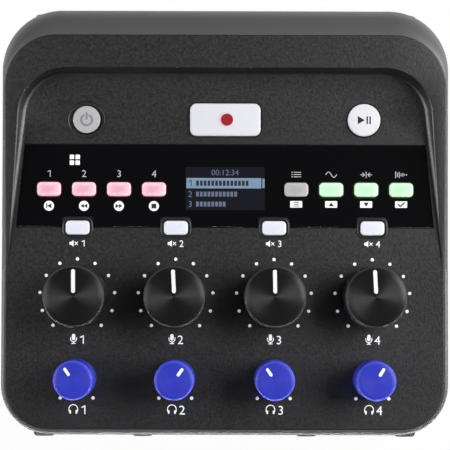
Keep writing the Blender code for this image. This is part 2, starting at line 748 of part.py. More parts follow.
def make_keys(deck):
    for name, x, back, width, depth, corner, proud, travel, kind in keys():
        steps = key_steps(corner, width)
        flange = (width + 2 * FLANGE_OUT, depth + 2 * FLANGE_OUT, corner + FLANGE_OUT)
        stem = (STEM, STEM, STEM / 2)
        edge = (width - 2 * KEY_ROUND, depth - 2 * KEY_ROUND, corner - KEY_ROUND)
        stem_end = SWITCH_TOP + GAP + travel
        flange_low = KEY_FLANGE_TOP - FLANGE_THICK
        levels = (
            (*edge, proud),
            (width, depth, corner, proud - KEY_ROUND),
            (width, depth, corner, KEY_FLANGE_TOP),
            (*flange, KEY_FLANGE_TOP),
            (*flange, flange_low),
            (*stem, flange_low),
            (*stem, stem_end),
        )
        shape = add_rings(bmesh.new(), [rounded(*level, steps) for level in levels])
        node(name, shape, paint(name, kind), (x, back, 0), parent=deck)


def make_knob(deck, name, x, back, top, base, shaft, pointer, angle_deg, kind, steps):
    """A knob and the shaft that it turns, with its origin on the axis at the deck's surface."""
    shaft_end = PANEL_UNDER - GAP - POT_HEIGHT + POT_FLOOR + GAP
    rings = [
        circle(top - 2 * KNOB_CHAMFER, KNOB_HEIGHT, steps),
        circle(top, KNOB_HEIGHT - KNOB_CHAMFER, steps),
        circle(base, KNOB_CLEAR, steps),
        circle(shaft, KNOB_CLEAR, steps),
        circle(shaft, shaft_end, steps),
    ]
    turn = (0, 0, math.radians(angle_deg))
    knob = node(name, add_rings(bmesh.new(), rings), paint(name, kind), (x, back, 0), turn, deck)
    near, far, wide = pointer
    middle = (0, (near + far) / 2)
    low, high = KNOB_HEIGHT - POINTER_DEPTH, KNOB_HEIGHT + CUT_OVER
    groove = add_block(bmesh.new(), wide, far - near, low, high, middle)
    cut(knob, helper(f"{name}_pointer", groove, deck, (x, back, 0), turn))


def make_pot(deck, name, x, back, shaft):
    high = PANEL_UNDER - GAP
    shape = add_block(bmesh.new(), POT_SIDE, POT_SIDE, high - POT_HEIGHT, high)
    pot = node(name, shape, paint(name, "pot"), (x, back, 0), parent=deck)
    bore = bmesh.new()
    low = high - POT_HEIGHT + POT_FLOOR
    add_cylinder(bore, shaft + 2 * SHAFT_PLAY, low, high + CUT_OVER, steps=HOLE_STEPS)
    cut(pot, helper(f"{name}_bore", bore, deck, (x, back, 0)))


def make_channels(deck):
    for i in range(CHANNELS):
        x = channel_x(i)
        mic, phones = f"mic_knob_{i + 1}", f"phones_knob_{i + 1}"
        pointer = (MIC_POINTER_FROM, MIC_POINTER_TO, MIC_POINTER_WIDTH)
        sizes = (MIC_KNOB_TOP, MIC_KNOB_BASE, MIC_SHAFT, pointer)
        make_knob(deck, mic, x, MIC_ROW, *sizes, MIC_ANGLES_DEG[i], "knob", KNOB_STEPS)
        pointer = (PHONES_POINTER_FROM, PHONES_POINTER_TO, PHONES_POINTER_WIDTH)
        sizes = (PHONES_KNOB_TOP, PHONES_KNOB_BASE, PHONES_SHAFT, pointer)
        angle_deg = PHONES_ANGLES_DEG[i]
        make_knob(deck, phones, x, PHONES_ROW, *sizes, angle_deg, "blue", SMALL_KNOB_STEPS)
        make_pot(deck, f"mic_pot_{i + 1}", x, MIC_ROW, MIC_SHAFT)
        make_pot(deck, f"phones_pot_{i + 1}", x, PHONES_ROW, PHONES_SHAFT)


def make_panel_board(deck):
    depth = PANEL_BOARD_BACK - PANEL_BOARD_FRONT
    middle = (0, (PANEL_BOARD_FRONT + PANEL_BOARD_BACK) / 2)
    low = BOARD_TOP - BOARD_THICK
    shape = add_block(bmesh.new(), 2 * PANEL_BOARD_HALF, depth, low, BOARD_TOP, middle, BOARD_CORNER)
    board = node("panel_board", shape, paint("panel_board", "board"), parent=deck)
    switches = bmesh.new()
    for _, x, back, *_ in keys():
        low_end = BOARD_TOP - BOARD_THICK / 2
        add_block(switches, SWITCH_SIDE, SWITCH_SIDE, low_end, SWITCH_TOP, (x, back))
    fuse(board, helper("board_switches", switches, deck))
    holes = bmesh.new()
    for x, y in screw_places():
        low_end, high_end = low - CUT_OVER, BOARD_TOP + CUT_OVER
        middle = off_deck(x, y, BOARD_TOP - BOARD_THICK / 2)
        add_cylinder(holes, BOSS + 2 * BOSS_ROOM, low_end, high_end, middle)
    cut(board, helper("board_boss_holes", holes, deck))


def make_case():
    body = body_loop()
    seat = cover_loop(GAP)
    inner = plan_loop(
        HALF_WIDTH - WALL,
        Y_FRONT + WALL,
        Y_REAR - REAR_WALL,
        BODY_CORNER_FRONT - WALL,
        BODY_CORNER_REAR - WALL,
    )
    rings = []
    for i in range(ROUND_STEPS + 1):
        angle = math.pi / 2 * i / ROUND_STEPS
        inset = BASE_IN + BASE_ROUND * (1 - math.sin(angle))
        height = FOOT_HEIGHT + BASE_ROUND * (1 - math.cos(angle))
        rings.append(at_height(body_loop(inset), height))
    for i in range(LIP_STEPS + 1):
        angle = math.pi / 2 * (1 - i / LIP_STEPS)
        ring = []
        for (bx, by, _), (sx, sy, _) in zip(body, seat):
            radius = math.hypot(bx - sx, by - sy)
            x = sx + (bx - sx) * math.sin(angle)
            y = sy + (by - sy) * math.sin(angle)
            ring.append((x, y, top_z(sy) - radius * (1 - math.cos(angle))))
        rings.append(ring)
    ledge_drop = COVER_THICK + GAP
    ledge = moved(seat, -LEDGE)
    rings.append(at_height(seat, lambda y: top_z(y) - ledge_drop))
    rings.append(at_height(ledge, lambda y: top_z(y) - ledge_drop))
    rings.append(at_height(ledge, lambda y: top_z(y) - ledge_drop - SHELF))
    rings.append([
        (x, y, top_z(point[1]) - ledge_drop - SHELF - LEDGE)
        for (x, y, _), point in zip(inner, ledge)
    ])
    rings.append(at_height(inner, FLOOR_TOP))
    shape = add_rings(bmesh.new(), rings)
    case = node("lower_case", shape, paint("lower_case", "case"))

    inside = bmesh.new()
    for place in screw_places():
        add_cylinder(inside, BOSS + 2 * GAP, FOOT_HEIGHT + FLOOR / 2, BOSS_SPLIT, place)
    for place in io_post_places():
        add_cylinder(inside, BOARD_POST, FOOT_HEIGHT + FLOOR / 2, IO_BOARD_UNDER - GAP, place)
    outer_length, outer_depth = BAY_LENGTH + 2 * BAY_WALL, BAY_DEPTH + 2 * BAY_WALL
    low = FOOT_HEIGHT + FLOOR / 2
    add_block(inside, outer_length, outer_depth, low, BAY_TOP + BAY_WALL, (0, BAY_Y))
    fuse(case, helper("case_bosses_and_bay", inside))
    cut(case, helper("case_bay", bay_room()))
    cut(case, helper("case_tab_slots", tab_slots()))
    cut(case, helper("case_screw_ways", screw_ways()))
    cut(case, helper("case_rear_flat", rear_flat()))
    cut(case, helper("case_side_holes", side_holes()))
    for name, shape in (("case_foot_seats", foot_seats()), ("case_xlr_holes", xlr_holes())):
        cut(case, helper(name, shape))
    return case


def bay_room():
    shape = bmesh.new()
    low = FOOT_HEIGHT - CUT_OVER
    add_block(shape, BAY_LENGTH, BAY_DEPTH, low, BAY_TOP, (0, BAY_Y))
    return shape


def tab_slots():
    """Room for the lid's two tabs to swing in the bay's front wall, above a thin lip."""
    shape = bmesh.new()
    low = FOOT_HEIGHT + TAB_UP - GAP
    for side in (-1, 1):
        reach = TAB_REACH + GAP + CUT_OVER
        middle = (side * TAB_OUT, BAY_FRONT_Y - TAB_REACH - GAP + reach / 2)
        add_block(shape, TAB_WIDTH + 2 * GAP, reach, low, low + TAB_SLOT, middle)
    return shape


def screw_ways():
    shape = bmesh.new()
    for x, y in screw_places():
        rings = [
            circle(SCREW_HEAD + 2 * GAP, FOOT_HEIGHT - CUT_OVER, centre=(x, y)),
            circle(SCREW_HEAD + 2 * GAP, FOOT_HEIGHT + SCREW_HEAD_UP, centre=(x, y)),
            circle(SCREW_SHANK + 2 * GAP, FOOT_HEIGHT + SCREW_HEAD_UP, centre=(x, y)),
            circle(SCREW_SHANK + 2 * GAP, BOSS_SPLIT + CUT_OVER, centre=(x, y)),
        ]
        add_rings(shape, rings)
    return shape


def rear_flat():
    """The flat panel sunk into the rear wall, where the inputs' flanges lie side by side."""
    shape = bmesh.new()
    height = XLR_FLANGE_HEIGHT + 2 * GAP
    turn = rear_frame(0.0)
    size = (2 * REAR_FLAT_HALF, height, REAR_FLAT_CORNER)
    add_rings(shape, [rounded(*size, z) for z in (-REAR_FLAT_DEPTH, CUT_OVER)], turn)
    return shape


def rear_frame(x, out=0.0):
    """A frame on an input's axis at the rear wall's outer plane: its Z points out of the case."""
    turn = Matrix.Rotation(-math.pi / 2, 4, "X")
    return Matrix.Translation((x, Y_REAR + out, XLR_UP)) @ turn


def xlr_holes():
    shape = bmesh.new()
    for i in range(CHANNELS):
        ends = (-REAR_WALL - CUT_OVER, CUT_OVER)
        rings = [circle(XLR_BARREL + 2 * GAP, z, ROUND_HOLE_STEPS) for z in ends]
        add_rings(shape, rings, rear_frame(channel_x(i)))
    return shape


def foot_places():
    front = Y_FRONT + FOOT_IN_FRONT
    return (("foot_front", front), ("foot_rear", Y_REAR - FOOT_IN_REAR))


def foot_seats():
    shape = bmesh.new()
    for _, y in foot_places():
        size = (FOOT_LENGTH + 2 * GAP, FOOT_DEPTH + 2 * GAP)
        corner = FOOT_DEPTH / 2
        low, high = FOOT_HEIGHT - CUT_OVER, FOOT_HEIGHT + FOOT_SEAT
        rings = [rounded(*size, corner + GAP, z, CORNER_STEPS, (0, y)) for z in (low, high)]
        add_rings(shape, rings)
    return shape


def front_frame(x):
    """A frame on a headphone jack's axis at the front wall: its Z points out of the case."""
    turn = Matrix.Rotation(math.pi / 2, 4, "X")
    return Matrix.Translation((x, Y_FRONT + JACK_WALL_IN, JACK_AXIS_Z)) @ turn


def side_frame(side, y, z):
    """A frame at a side wall, with its Z pointing out of the case and its X along the case."""
    across = Matrix.Rotation(side * math.pi / 2, 4, "Y") @ Matrix.Rotation(side * math.pi / 2, 4, "Z")
    return Matrix.Translation((side * HALF_WIDTH, y, z)) @ across


def usb_z():
    return IO_BOARD_TOP + GAP + USB_HEIGHT / 2


def card_z():
    return IO_BOARD_TOP + SOCKET_WALL + GAP + CARD_THICK / 2


def side_holes():
    shape = bmesh.new()
    ends = (-WALL * 2 - CUT_OVER, CUT_OVER)
    for x in phones_jack_places():
        add_rings(shape, [circle(JACK_COLLAR + 2 * GAP, z) for z in ends], front_frame(x))
    for y in (SIDE_JACK_FRONT_Y, SIDE_JACK_REAR_Y):
        rings = [circle(JACK_COLLAR + 2 * GAP, z) for z in ends]
        add_rings(shape, rings, side_frame(1, y, JACK_AXIS_Z))
    usb = (USB_WIDTH + 2 * GAP, USB_HEIGHT + 2 * GAP, USB_HEIGHT / 2)
    add_rings(shape, [rounded(*usb, z) for z in ends], side_frame(-1, USB_Y, usb_z()))
    card = (CARD_WIDTH + 2 * GAP, CARD_THICK + 2 * GAP, GAP)
    add_rings(shape, [rounded(*card, z) for z in ends], side_frame(-1, CARD_Y, card_z()))
    return shape


def make_feet():
    for name, y in foot_places():
        corner = FOOT_DEPTH / 2
        high = FOOT_HEIGHT + FOOT_SEAT - GAP
        size = (FOOT_LENGTH, FOOT_DEPTH, corner)
        rings = [rounded(*size, z, CORNER_STEPS) for z in (0.0, high)]
        node(name, add_rings(bmesh.new(), rings), paint(name, "rubber"), (0, y, 0))


def make_screws():
    for i, (x, y) in enumerate(screw_places()):
        head_top = FOOT_HEIGHT + SCREW_HEAD_UP - GAP
        rings = [
            circle(SCREW_HEAD, head_top - SCREW_HEAD_THICK),
            circle(SCREW_HEAD, head_top),
            circle(SCREW_SHANK, head_top),
            circle(SCREW_SHANK, BOSS_SPLIT + SCREW_BITE),
        ]
        name = f"case_screw_{i + 1}"
        node(name, add_rings(bmesh.new(), rings), paint(name, "steel"), (x, y, 0))


def make_jack(name, frame, nose, proud):
    """A 3.5 mm jack lying along the frame's Z, its collar proud of the case wall."""
    inside = proud - nose
    body = bmesh.new()
    turn = frame.to_euler()
    place = frame.translation
    add_block(body, JACK_WIDTH, JACK_HEIGHT, inside - JACK_LENGTH, inside)
    jack = node(name, body, paint(name, "jack"), place, turn)
    collar = add_rings(bmesh.new(), [circle(JACK_COLLAR, z) for z in (inside - GAP, proud)])
    fuse(jack, helper(f"{name}_collar", collar, None, place, turn))
    ends = (proud - JACK_BORE_DEPTH, proud + CUT_OVER)
    bore = add_rings(bmesh.new(), [circle(JACK_BORE, z) for z in ends])
    cut(jack, helper(f"{name}_bore", bore, None, place, turn))


def make_usb():
    frame = side_frame(-1, USB_Y, usb_z())
    place, turn = frame.translation, frame.to_euler()
    shell = (USB_WIDTH, USB_HEIGHT, USB_HEIGHT / 2)
    room = 2 * USB_SHELL
    hollow = (USB_WIDTH - room, USB_HEIGHT - room, (USB_HEIGHT - room) / 2)
    back = -USB_LENGTH + USB_SHELL
    tongue = (USB_TONGUE_WIDTH, USB_TONGUE, USB_TONGUE / 2 - GAP / 2)
    levels = (
        (*shell, -USB_LENGTH),
        (*shell, 0.0),
        (*hollow, 0.0),
        (*hollow, back),
        (*tongue, back),
        (*tongue, -USB_TONGUE_IN),
    )
    shape = add_rings(bmesh.new(), [rounded(*level) for level in levels])
    node("usb_port", shape, paint("usb_port", "steel"), place, turn)


def make_card():
    low = card_z() - CARD_THICK / 2
    x = -HALF_WIDTH - CARD_PROUD + CARD_LENGTH / 2
    shape = add_block(bmesh.new(), CARD_LENGTH, CARD_WIDTH, 0, CARD_THICK, corner=CARD_THICK / 2)
    node("memory_card", shape, paint("memory_card", "jack"), (x, CARD_Y, low))


def make_io_board():
    inset = WALL + IO_BOARD_IN
    loop = plan_loop(
        HALF_WIDTH - inset, Y_FRONT + inset, IO_BOARD_BACK, IO_BOARD_CORNER, BOARD_CORNER
    )
    rings = [at_height(loop, z) for z in (IO_BOARD_UNDER, IO_BOARD_TOP)]
    board = node("io_board", add_rings(bmesh.new(), rings), paint("io_board", "board"))
    socket = bmesh.new()
    high = IO_BOARD_TOP + 2 * SOCKET_WALL + CARD_THICK + 2 * GAP
    x = -HALF_WIDTH + inset + SOCKET_LENGTH / 2
    add_block(socket, SOCKET_LENGTH, SOCKET_WIDTH, IO_BOARD_TOP - BOARD_THICK / 2, high, (x, CARD_Y))
    fuse(board, helper("io_board_card_socket", socket))
    room = bmesh.new()
    length, depth = BAY_LENGTH + 2 * (BAY_WALL + IO_BOARD_IN), BAY_DEPTH + BOARD_BAY_OVER
    low, top = IO_BOARD_UNDER - CUT_OVER, IO_BOARD_TOP + CUT_OVER
    start = BAY_FRONT_Y - BAY_WALL - IO_BOARD_IN
    add_block(room, length, depth, low, top, (0, start + depth / 2))
    for place in screw_places()[:2]:
        add_cylinder(room, BOSS + 2 * BOSS_ROOM, low, top, place)
    cut(board, helper("io_board_cut_outs", room))
    slot = bmesh.new()
    reach = CARD_LENGTH - CARD_PROUD + GAP
    width, thick = CARD_WIDTH + 2 * GAP, CARD_THICK + 2 * GAP
    low = card_z() - thick / 2
    middle = (-HALF_WIDTH - CUT_OVER + (reach + CUT_OVER) / 2, CARD_Y)
    add_block(slot, reach + CUT_OVER, width, low, low + thick, middle)
    cut(board, helper("io_board_card_slot", slot))


def make_xlr(index):
    """A female input: a round insert with three contact holes inside a ring-shaped mouth."""
    name = f"xlr_jack_{index + 1}"
    steps = XLR_CORNER_STEPS
    frame = rear_frame(channel_x(index), -REAR_FLAT_DEPTH + GAP)
    place, turn = frame.translation, frame.to_euler()
    flange = (XLR_FLANGE_WIDTH, XLR_FLANGE_HEIGHT, XLR_FLANGE_CORNER)
    face = XLR_FLANGE_THICK
    ring_steps = 4 * (steps + 1)
    rings = [
        circle(XLR_BARREL, -XLR_LENGTH, ring_steps),
        circle(XLR_BARREL, 0.0, ring_steps),
        rounded(*flange, 0.0, steps),
        rounded(*flange, face, steps),
        circle(XLR_MOUTH, face, ring_steps),
        circle(XLR_MOUTH, face - XLR_GROOVE_DEPTH, ring_steps),
        circle(XLR_INSERT, face - XLR_GROOVE_DEPTH, ring_steps),
        circle(XLR_INSERT, face - XLR_INSERT_BACK, ring_steps),
    ]
    jack = node(name, add_rings(bmesh.new(), rings), paint(name, "jack"), place, turn)
    contacts = bmesh.new()
    for degrees in XLR_CONTACT_ANGLES_DEG:
        angle = math.radians(degrees)
        middle = (XLR_CONTACT_RING * math.cos(angle), XLR_CONTACT_RING * math.sin(angle))
        low, high = face - XLR_CONTACT_DEPTH, face + CUT_OVER
        add_cylinder(contacts, XLR_CONTACT, low, high, middle, HOLE_STEPS // 2)
    cut(jack, helper(f"{name}_contacts", contacts, None, place, turn))


def make_lid():
    """The bay's lid, with its origin on the hinge line along its front lower edge."""
    length, depth = BAY_LENGTH - 2 * GAP, BAY_DEPTH - 2 * GAP
    middle = (0, GAP + depth / 2)
    shape = add_block(bmesh.new(), length, depth, 0, LID_THICK, middle)
    place = (0, BAY_FRONT_Y, FOOT_HEIGHT)
    lid = node("battery_cover", shape, paint("battery_cover", "case"), place)
    tabs = bmesh.new()
    for side in (-1, 1):
        reach = TAB_REACH + CUT_OVER
        block = (side * TAB_OUT, -TAB_REACH + reach / 2)
        add_block(tabs, TAB_WIDTH, reach, TAB_UP, TAB_UP + TAB_THICK, block)
    fuse(lid, helper("lid_tabs", tabs, None, place))
    grip = bmesh.new()
    at = (0, depth - LATCH_IN)
    add_block(grip, LATCH_WIDTH, LATCH_DEPTH, -CUT_OVER, LATCH_SINK, at, corner=LATCH_CORNER)
    cut(lid, helper("lid_finger_grip", grip, None, place))


def cell_y(index):
    return BAY_Y + (index - (CELLS - 1) / 2) * (CELL_DIAMETER + CELL_APART)


def make_cells():
    """Two cells side by side, the second one the other way round."""
    for i in range(2):
        half, full = CELL_LENGTH / 2, CELL_DIAMETER
        rings = [
            circle(full - 2 * CELL_EDGE, -half),
            circle(full, -half + CELL_EDGE),
            circle(full, half - CELL_NUB - CELL_EDGE),
            circle(full - 2 * CELL_EDGE, half - CELL_NUB),
            circle(CELL_NUB_DIAMETER, half - CELL_NUB),
            circle(CELL_NUB_DIAMETER, half),
        ]
        turn = (0, math.pi / 2 if i == 0 else -math.pi / 2, 0)
        name = f"battery_{i + 1}"
        shape = add_rings(bmesh.new(), rings)
        node(name, shape, paint(name, "cell"), (0, cell_y(i), CELL_Z), turn)


def make_contacts():
    """A contact plate at each end of the bay: a spring to one cell's base, a stud to the other's nub."""
    for side, name in ((-1, "battery_contact_left"), (1, "battery_contact_right")):
        wall_x = side * (BAY_LENGTH / 2 - GAP)
        depth = BAY_DEPTH - 2 * BAY_SIDE_ROOM - 2 * GAP
        middle = (wall_x - side * CONTACT_PLATE / 2, BAY_Y)
        low, high = CELL_Z - CONTACT_HEIGHT / 2, CELL_Z + CONTACT_HEIGHT / 2
        shape = add_block(bmesh.new(), CONTACT_PLATE, depth, low, high, middle)
        plate = node(name, shape, paint(name, "steel"))
        studs = bmesh.new()
        reach = CELL_ROOM - 2 * GAP
        turn = Matrix.Rotation(-side * math.pi / 2, 4, "Y")
        spring = 0 if side < 0 else 1
        for i in range(2):
            frame = Matrix.Translation((wall_x, cell_y(i), CELL_Z)) @ turn
            wide, narrow = (SPRING_WIDE, SPRING_NARROW) if i == spring else (BUTTON_CONTACT,) * 2
            rings = [circle(wide, CONTACT_PLATE / 2), circle(narrow, reach)]
            add_rings(studs, rings, frame)
        fuse(plate, helper(f"{name}_studs", studs))


def main():
    clear_scene()
    deck = bpy.data.objects.new("deck_frame", None)
    bpy.context.scene.collection.objects.link(deck)
    deck.location = (0, COVER_FRONT_Y, FRONT_HEIGHT)
    deck.rotation_euler = (DECK_SLOPE, 0, 0)
    make_cover(deck)
    make_case()
    make_window(deck)
    make_display(deck)
    make_keys(deck)
    make_channels(deck)
    make_panel_board(deck)
    make_io_board()
    for i, x in enumerate(phones_jack_places()):
        make_jack(f"phones_jack_{i + 1}", front_frame(x), JACK_NOSE, JACK_PROUD)
    for i, y in enumerate((SIDE_JACK_FRONT_Y, SIDE_JACK_REAR_Y)):
        frame = side_frame(1, y, JACK_AXIS_Z)
        make_jack(f"side_jack_{i + 1}", frame, SIDE_JACK_NOSE, SIDE_JACK_PROUD)
    make_usb()
    make_card()
    for i in range(CHANNELS):
        make_xlr(i)
    make_feet()
    make_screws()
    make_lid()
    make_cells()
    make_contacts()


main()
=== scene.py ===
"""Looks of the podcast recorder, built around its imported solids.

Units are metres. Deck pieces use the deck's own frame: x, then distance behind the cover's front edge,
then height above the deck.
"""

import math

import bmesh
import bpy
from mathutils import Matrix, Vector


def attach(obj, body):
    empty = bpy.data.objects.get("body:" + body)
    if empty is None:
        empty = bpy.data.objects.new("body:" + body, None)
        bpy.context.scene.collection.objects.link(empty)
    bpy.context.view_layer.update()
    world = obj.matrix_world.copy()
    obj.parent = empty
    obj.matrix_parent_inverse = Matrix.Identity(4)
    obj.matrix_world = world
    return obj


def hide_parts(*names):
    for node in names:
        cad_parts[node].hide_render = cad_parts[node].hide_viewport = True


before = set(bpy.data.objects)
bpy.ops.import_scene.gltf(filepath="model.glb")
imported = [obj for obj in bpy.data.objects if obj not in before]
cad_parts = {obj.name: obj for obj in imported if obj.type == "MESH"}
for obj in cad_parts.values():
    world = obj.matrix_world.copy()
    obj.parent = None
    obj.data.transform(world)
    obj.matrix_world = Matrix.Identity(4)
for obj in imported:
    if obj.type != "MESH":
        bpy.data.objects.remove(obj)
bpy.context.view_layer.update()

# Sizes of the solids that the looks follow
GAP = 0.0003
SHAFT_PLAY = 0.0004
OVER = 0.0020
BODY_WIDTH = 0.1228
BODY_DEPTH = 0.1164
BODY_CORNER_FRONT = 0.0138
BODY_CORNER_REAR = 0.0165
FRONT_HEIGHT = 0.0260
DECK_SLOPE = math.radians(6.0)
RIM_SLOPE = math.radians(12.0)
CREASE_BACK = 0.0437
BASE_ROUND = 0.0020
BASE_IN = 0.0008
WALL = 0.0022
REAR_WALL = 0.0046
FLOOR = 0.0020
LEDGE = 0.0010
SHELF = 0.0025
COVER_THICK = 0.0022
COVER_EDGE_ROUND = 0.0002
COVER_IN_SIDE = 0.0011
COVER_IN_FRONT = 0.0014
COVER_IN_REAR = 0.0087
COVER_CORNER_FRONT = 0.0122
COVER_CORNER_REAR = 0.0142
RECESS_IN_SIDE = 0.00045
RECESS_BACK = 0.0982
RECESS_CORNER = 0.0130
RECESS_LEAN = math.radians(4.7)
RECESS_LIP = 0.0006
SIDE_DRAFT = math.radians(4.0)
REAR_DRAFT = math.radians(2.0)
SIDE_FILLET = 0.0040
FILLET_FADE = 0.50
FOOT_TURN = math.radians(16.0)
REAR_LIP = 0.0002
REAR_FILLET = 0.00065
UNDER_OUT = 0.0012
UNDER_FROM = 0.0015
UNDER_FULL = 0.0045
FOOT_HEIGHT = 0.0015
FOOT_SEAT = 0.0010
FOOT_LENGTH = 0.0760
FOOT_DEPTH = 0.0080
FOOT_IN_FRONT = 0.0090
FOOT_IN_REAR = 0.0120
CHANNELS = 4
CHANNEL_PITCH = 0.0270
PHONES_ROW = 0.0139
MIC_ROW = 0.0363
MUTE_ROW = 0.0552
PAD_ROW = 0.0658
TRANSPORT_ROW = 0.0850
KNOB_HEIGHT = 0.0140
KNOB_CLEAR = 0.0006
MIC_KNOB_TOP = 0.01656
MIC_KNOB_BASE = 0.0169
PHONES_KNOB_TOP = 0.0106
PHONES_KNOB_BASE = 0.0109
SHAFT = 0.0060
MIC_ANGLES_DEG = (0.5, 3.0, 1.0, 3.0)
PHONES_ANGLES_DEG = (35.0, -36.0, 34.0, -32.0)
POT_HEIGHT = 0.0062
POT_FLOOR = 0.0012
FLANGE_OUT = 0.0009
FLANGE_THICK = 0.0008
STEM = 0.0032
SWITCH_HEIGHT = 0.0035
TRANSPORT_OUT = 0.0382
RECORD_WIDTH = 0.0195
RECORD_DEPTH = 0.0091
RECORD_CORNER = 0.0019
RECORD_PROUD = 0.0011
RECORD_TRAVEL = 0.0005
PLAY_DIAMETER = 0.0091
PLAY_PROUD = 0.0009
PLAY_TRAVEL = 0.0005
POWER_DIAMETER = 0.0077
POWER_PROUD = 0.0005
POWER_TRAVEL = 0.0004
POWER_DISH = 0.0104
POWER_DISH_DEPTH = 0.0004
PAD_WIDTH = 0.0067
PAD_DEPTH = 0.0040
PAD_CORNER = 0.0012
PAD_PROUD = 0.0007
PAD_TRAVEL = 0.0004
PAD_PITCH = 0.00962
PAD_GROUP_OUT = 0.0340
MUTE_FRAME_OUT = 0.0009
BAND_FRONT = 0.0555
BAND_BACK = 0.0780
BAND_SIDE_GAP = 0.0005
BAND_THICK = 0.0010
BAND_NOTCH_CORNER = 0.0012
SCREEN_WIDTH = 0.0230
SCREEN_DEPTH = 0.0125
IO_BOARD_UNDER = 0.0080
BOARD_THICK = 0.0016
SCREW_OUT_FRONT = 0.0310
SCREW_OUT_REAR = 0.0530
SCREW_Y_FRONT = -0.0470
SCREW_Y_REAR = 0.0310
SCREW_SHANK = 0.0029
SCREW_HEAD = 0.0054
SCREW_HEAD_THICK = 0.0018
SCREW_HEAD_UP = 0.0060
SCREW_BITE = 0.0060
BOSS = 0.0070
BOSS_SPLIT = 0.0140
JACK_COLLAR = 0.0059
JACK_BORE = 0.0036
JACK_BORE_DEPTH = 0.0140
JACK_WIDTH = 0.0065
JACK_HEIGHT = 0.0055
JACK_LENGTH = 0.0125
JACK_PROUD = 0.0004
SIDE_JACK_PROUD = 0.0012
JACK_NOSE = 0.0055
SIDE_JACK_NOSE = 0.0039
PHONES_JACK_INNER = 0.0230
PHONES_JACK_OUTER = 0.0506
SIDE_JACK_FRONT_Y = -0.0255
SIDE_JACK_REAR_Y = -0.0144
USB_WIDTH = 0.00894
USB_HEIGHT = 0.0032
USB_LENGTH = 0.0073
USB_SHELL = 0.0003
USB_TONGUE = 0.0007
USB_TONGUE_WIDTH = 0.0067
USB_TONGUE_IN = 0.0008
USB_Y = -0.0230
CARD_WIDTH = 0.0110
CARD_LENGTH = 0.0150
CARD_THICK = 0.0010
CARD_PROUD = 0.0012
CARD_Y = 0.0000
SOCKET_WALL = 0.0010
XLR_UP = 0.0205
XLR_BARREL = 0.0236
XLR_LENGTH = 0.0200
XLR_FLANGE_WIDTH = 0.0256
XLR_FLANGE_HEIGHT = 0.0290
XLR_FLANGE_CORNER = 0.0040
XLR_FLANGE_THICK = 0.0015
XLR_MOUTH = 0.0192
XLR_INSERT = 0.0157
XLR_INSERT_BACK = 0.0004
XLR_GROOVE_DEPTH = 0.0130
XLR_CONTACT = 0.0027
XLR_CONTACT_DEPTH = 0.0100
XLR_CONTACT_RING = 0.0046
XLR_CONTACT_ANGLES_DEG = (30.0, 150.0, 270.0)
REAR_FLAT_DEPTH = 0.0023
REAR_FLAT_HALF = 0.0542
REAR_FLAT_CORNER = 0.0030
CELL_DIAMETER = 0.0145
CELL_LENGTH = 0.0505
CELL_NUB = 0.0010
CELL_NUB_DIAMETER = 0.0055
CELL_EDGE = 0.0008
CELL_APART = 0.0008
CELL_ROOM = 0.0030
BAY_Y = 0.0100
BAY_WALL = 0.0012
BAY_SIDE_ROOM = 0.0006
LID_THICK = 0.0020
TAB_OUT = 0.0180
TAB_WIDTH = 0.0070
TAB_REACH = 0.0015
TAB_UP = 0.0009
TAB_THICK = 0.0008
TAB_SLOT = 0.0036
LATCH_WIDTH = 0.0120
LATCH_DEPTH = 0.0030
LATCH_SINK = 0.0008

# Smoothness of the shown shapes
CORNER_STEPS = 24
ROUND_STEPS = 8
LIP_STEPS = 20
FILLET_STEPS = 10
EDGE_STEPS = 5
KNOB_STEPS = 128
CELL_STEPS = 64
CONTACT_STEPS = 32
FOOT_STEPS = 16
HOLE_STEPS = 48
KEY_CORNER_STEPS = 10
CAP_TRIM = 0.0001
SAME_POINT = 0.0000001
SAME_COVER_POINT = 0.000002
SEAM = 0.00003
LEAST_CORNER = 0.00002
SHARP_DEG = 34
WINDOW_SHARP_DEG = 20
KEY_SHARP_DEG = 40

# Worked out from the sizes above
QUARTER_TURN = math.pi / 2
HALF_WIDTH = BODY_WIDTH / 2
Y_REAR = BODY_DEPTH / 2
Y_FRONT = -Y_REAR
COVER_FRONT_Y = Y_FRONT + COVER_IN_FRONT
COVER_BACK_Y = Y_REAR - COVER_IN_REAR
CREASE_Y = COVER_FRONT_Y + CREASE_BACK * math.cos(DECK_SLOPE)
CREASE_Z = FRONT_HEIGHT + CREASE_BACK * math.sin(DECK_SLOPE)
FLOOR_TOP = FOOT_HEIGHT + FLOOR
PANEL_UNDER = -COVER_THICK * math.cos(DECK_SLOPE)
BOARD_TOP = PANEL_UNDER - 2 * GAP - POT_HEIGHT
SWITCH_TOP = BOARD_TOP + SWITCH_HEIGHT
KEY_FLANGE_TOP = PANEL_UNDER - GAP
MUTE_FRAME_WIDTH = PAD_WIDTH + 2 * MUTE_FRAME_OUT
MUTE_FRAME_DEPTH = PAD_DEPTH + 2 * MUTE_FRAME_OUT
IO_BOARD_TOP = IO_BOARD_UNDER + BOARD_THICK
JACK_AXIS_Z = IO_BOARD_TOP + GAP + JACK_HEIGHT / 2
JACK_WALL_IN = BASE_IN * (1 - (JACK_AXIS_Z - FOOT_HEIGHT) / (FRONT_HEIGHT - FOOT_HEIGHT))
USB_Z = IO_BOARD_TOP + GAP + USB_HEIGHT / 2
CARD_Z = IO_BOARD_TOP + SOCKET_WALL + GAP + CARD_THICK / 2
LID_TOP = FOOT_HEIGHT + LID_THICK
CELL_Z = LID_TOP + GAP + CELL_DIAMETER / 2
BAY_LENGTH = CELL_LENGTH + 2 * CELL_ROOM
BAY_DEPTH = 2 * CELL_DIAMETER + CELL_APART + 2 * BAY_SIDE_ROOM
BAY_TOP = CELL_Z + CELL_DIAMETER / 2 + GAP
BAY_FRONT_Y = BAY_Y - BAY_DEPTH / 2
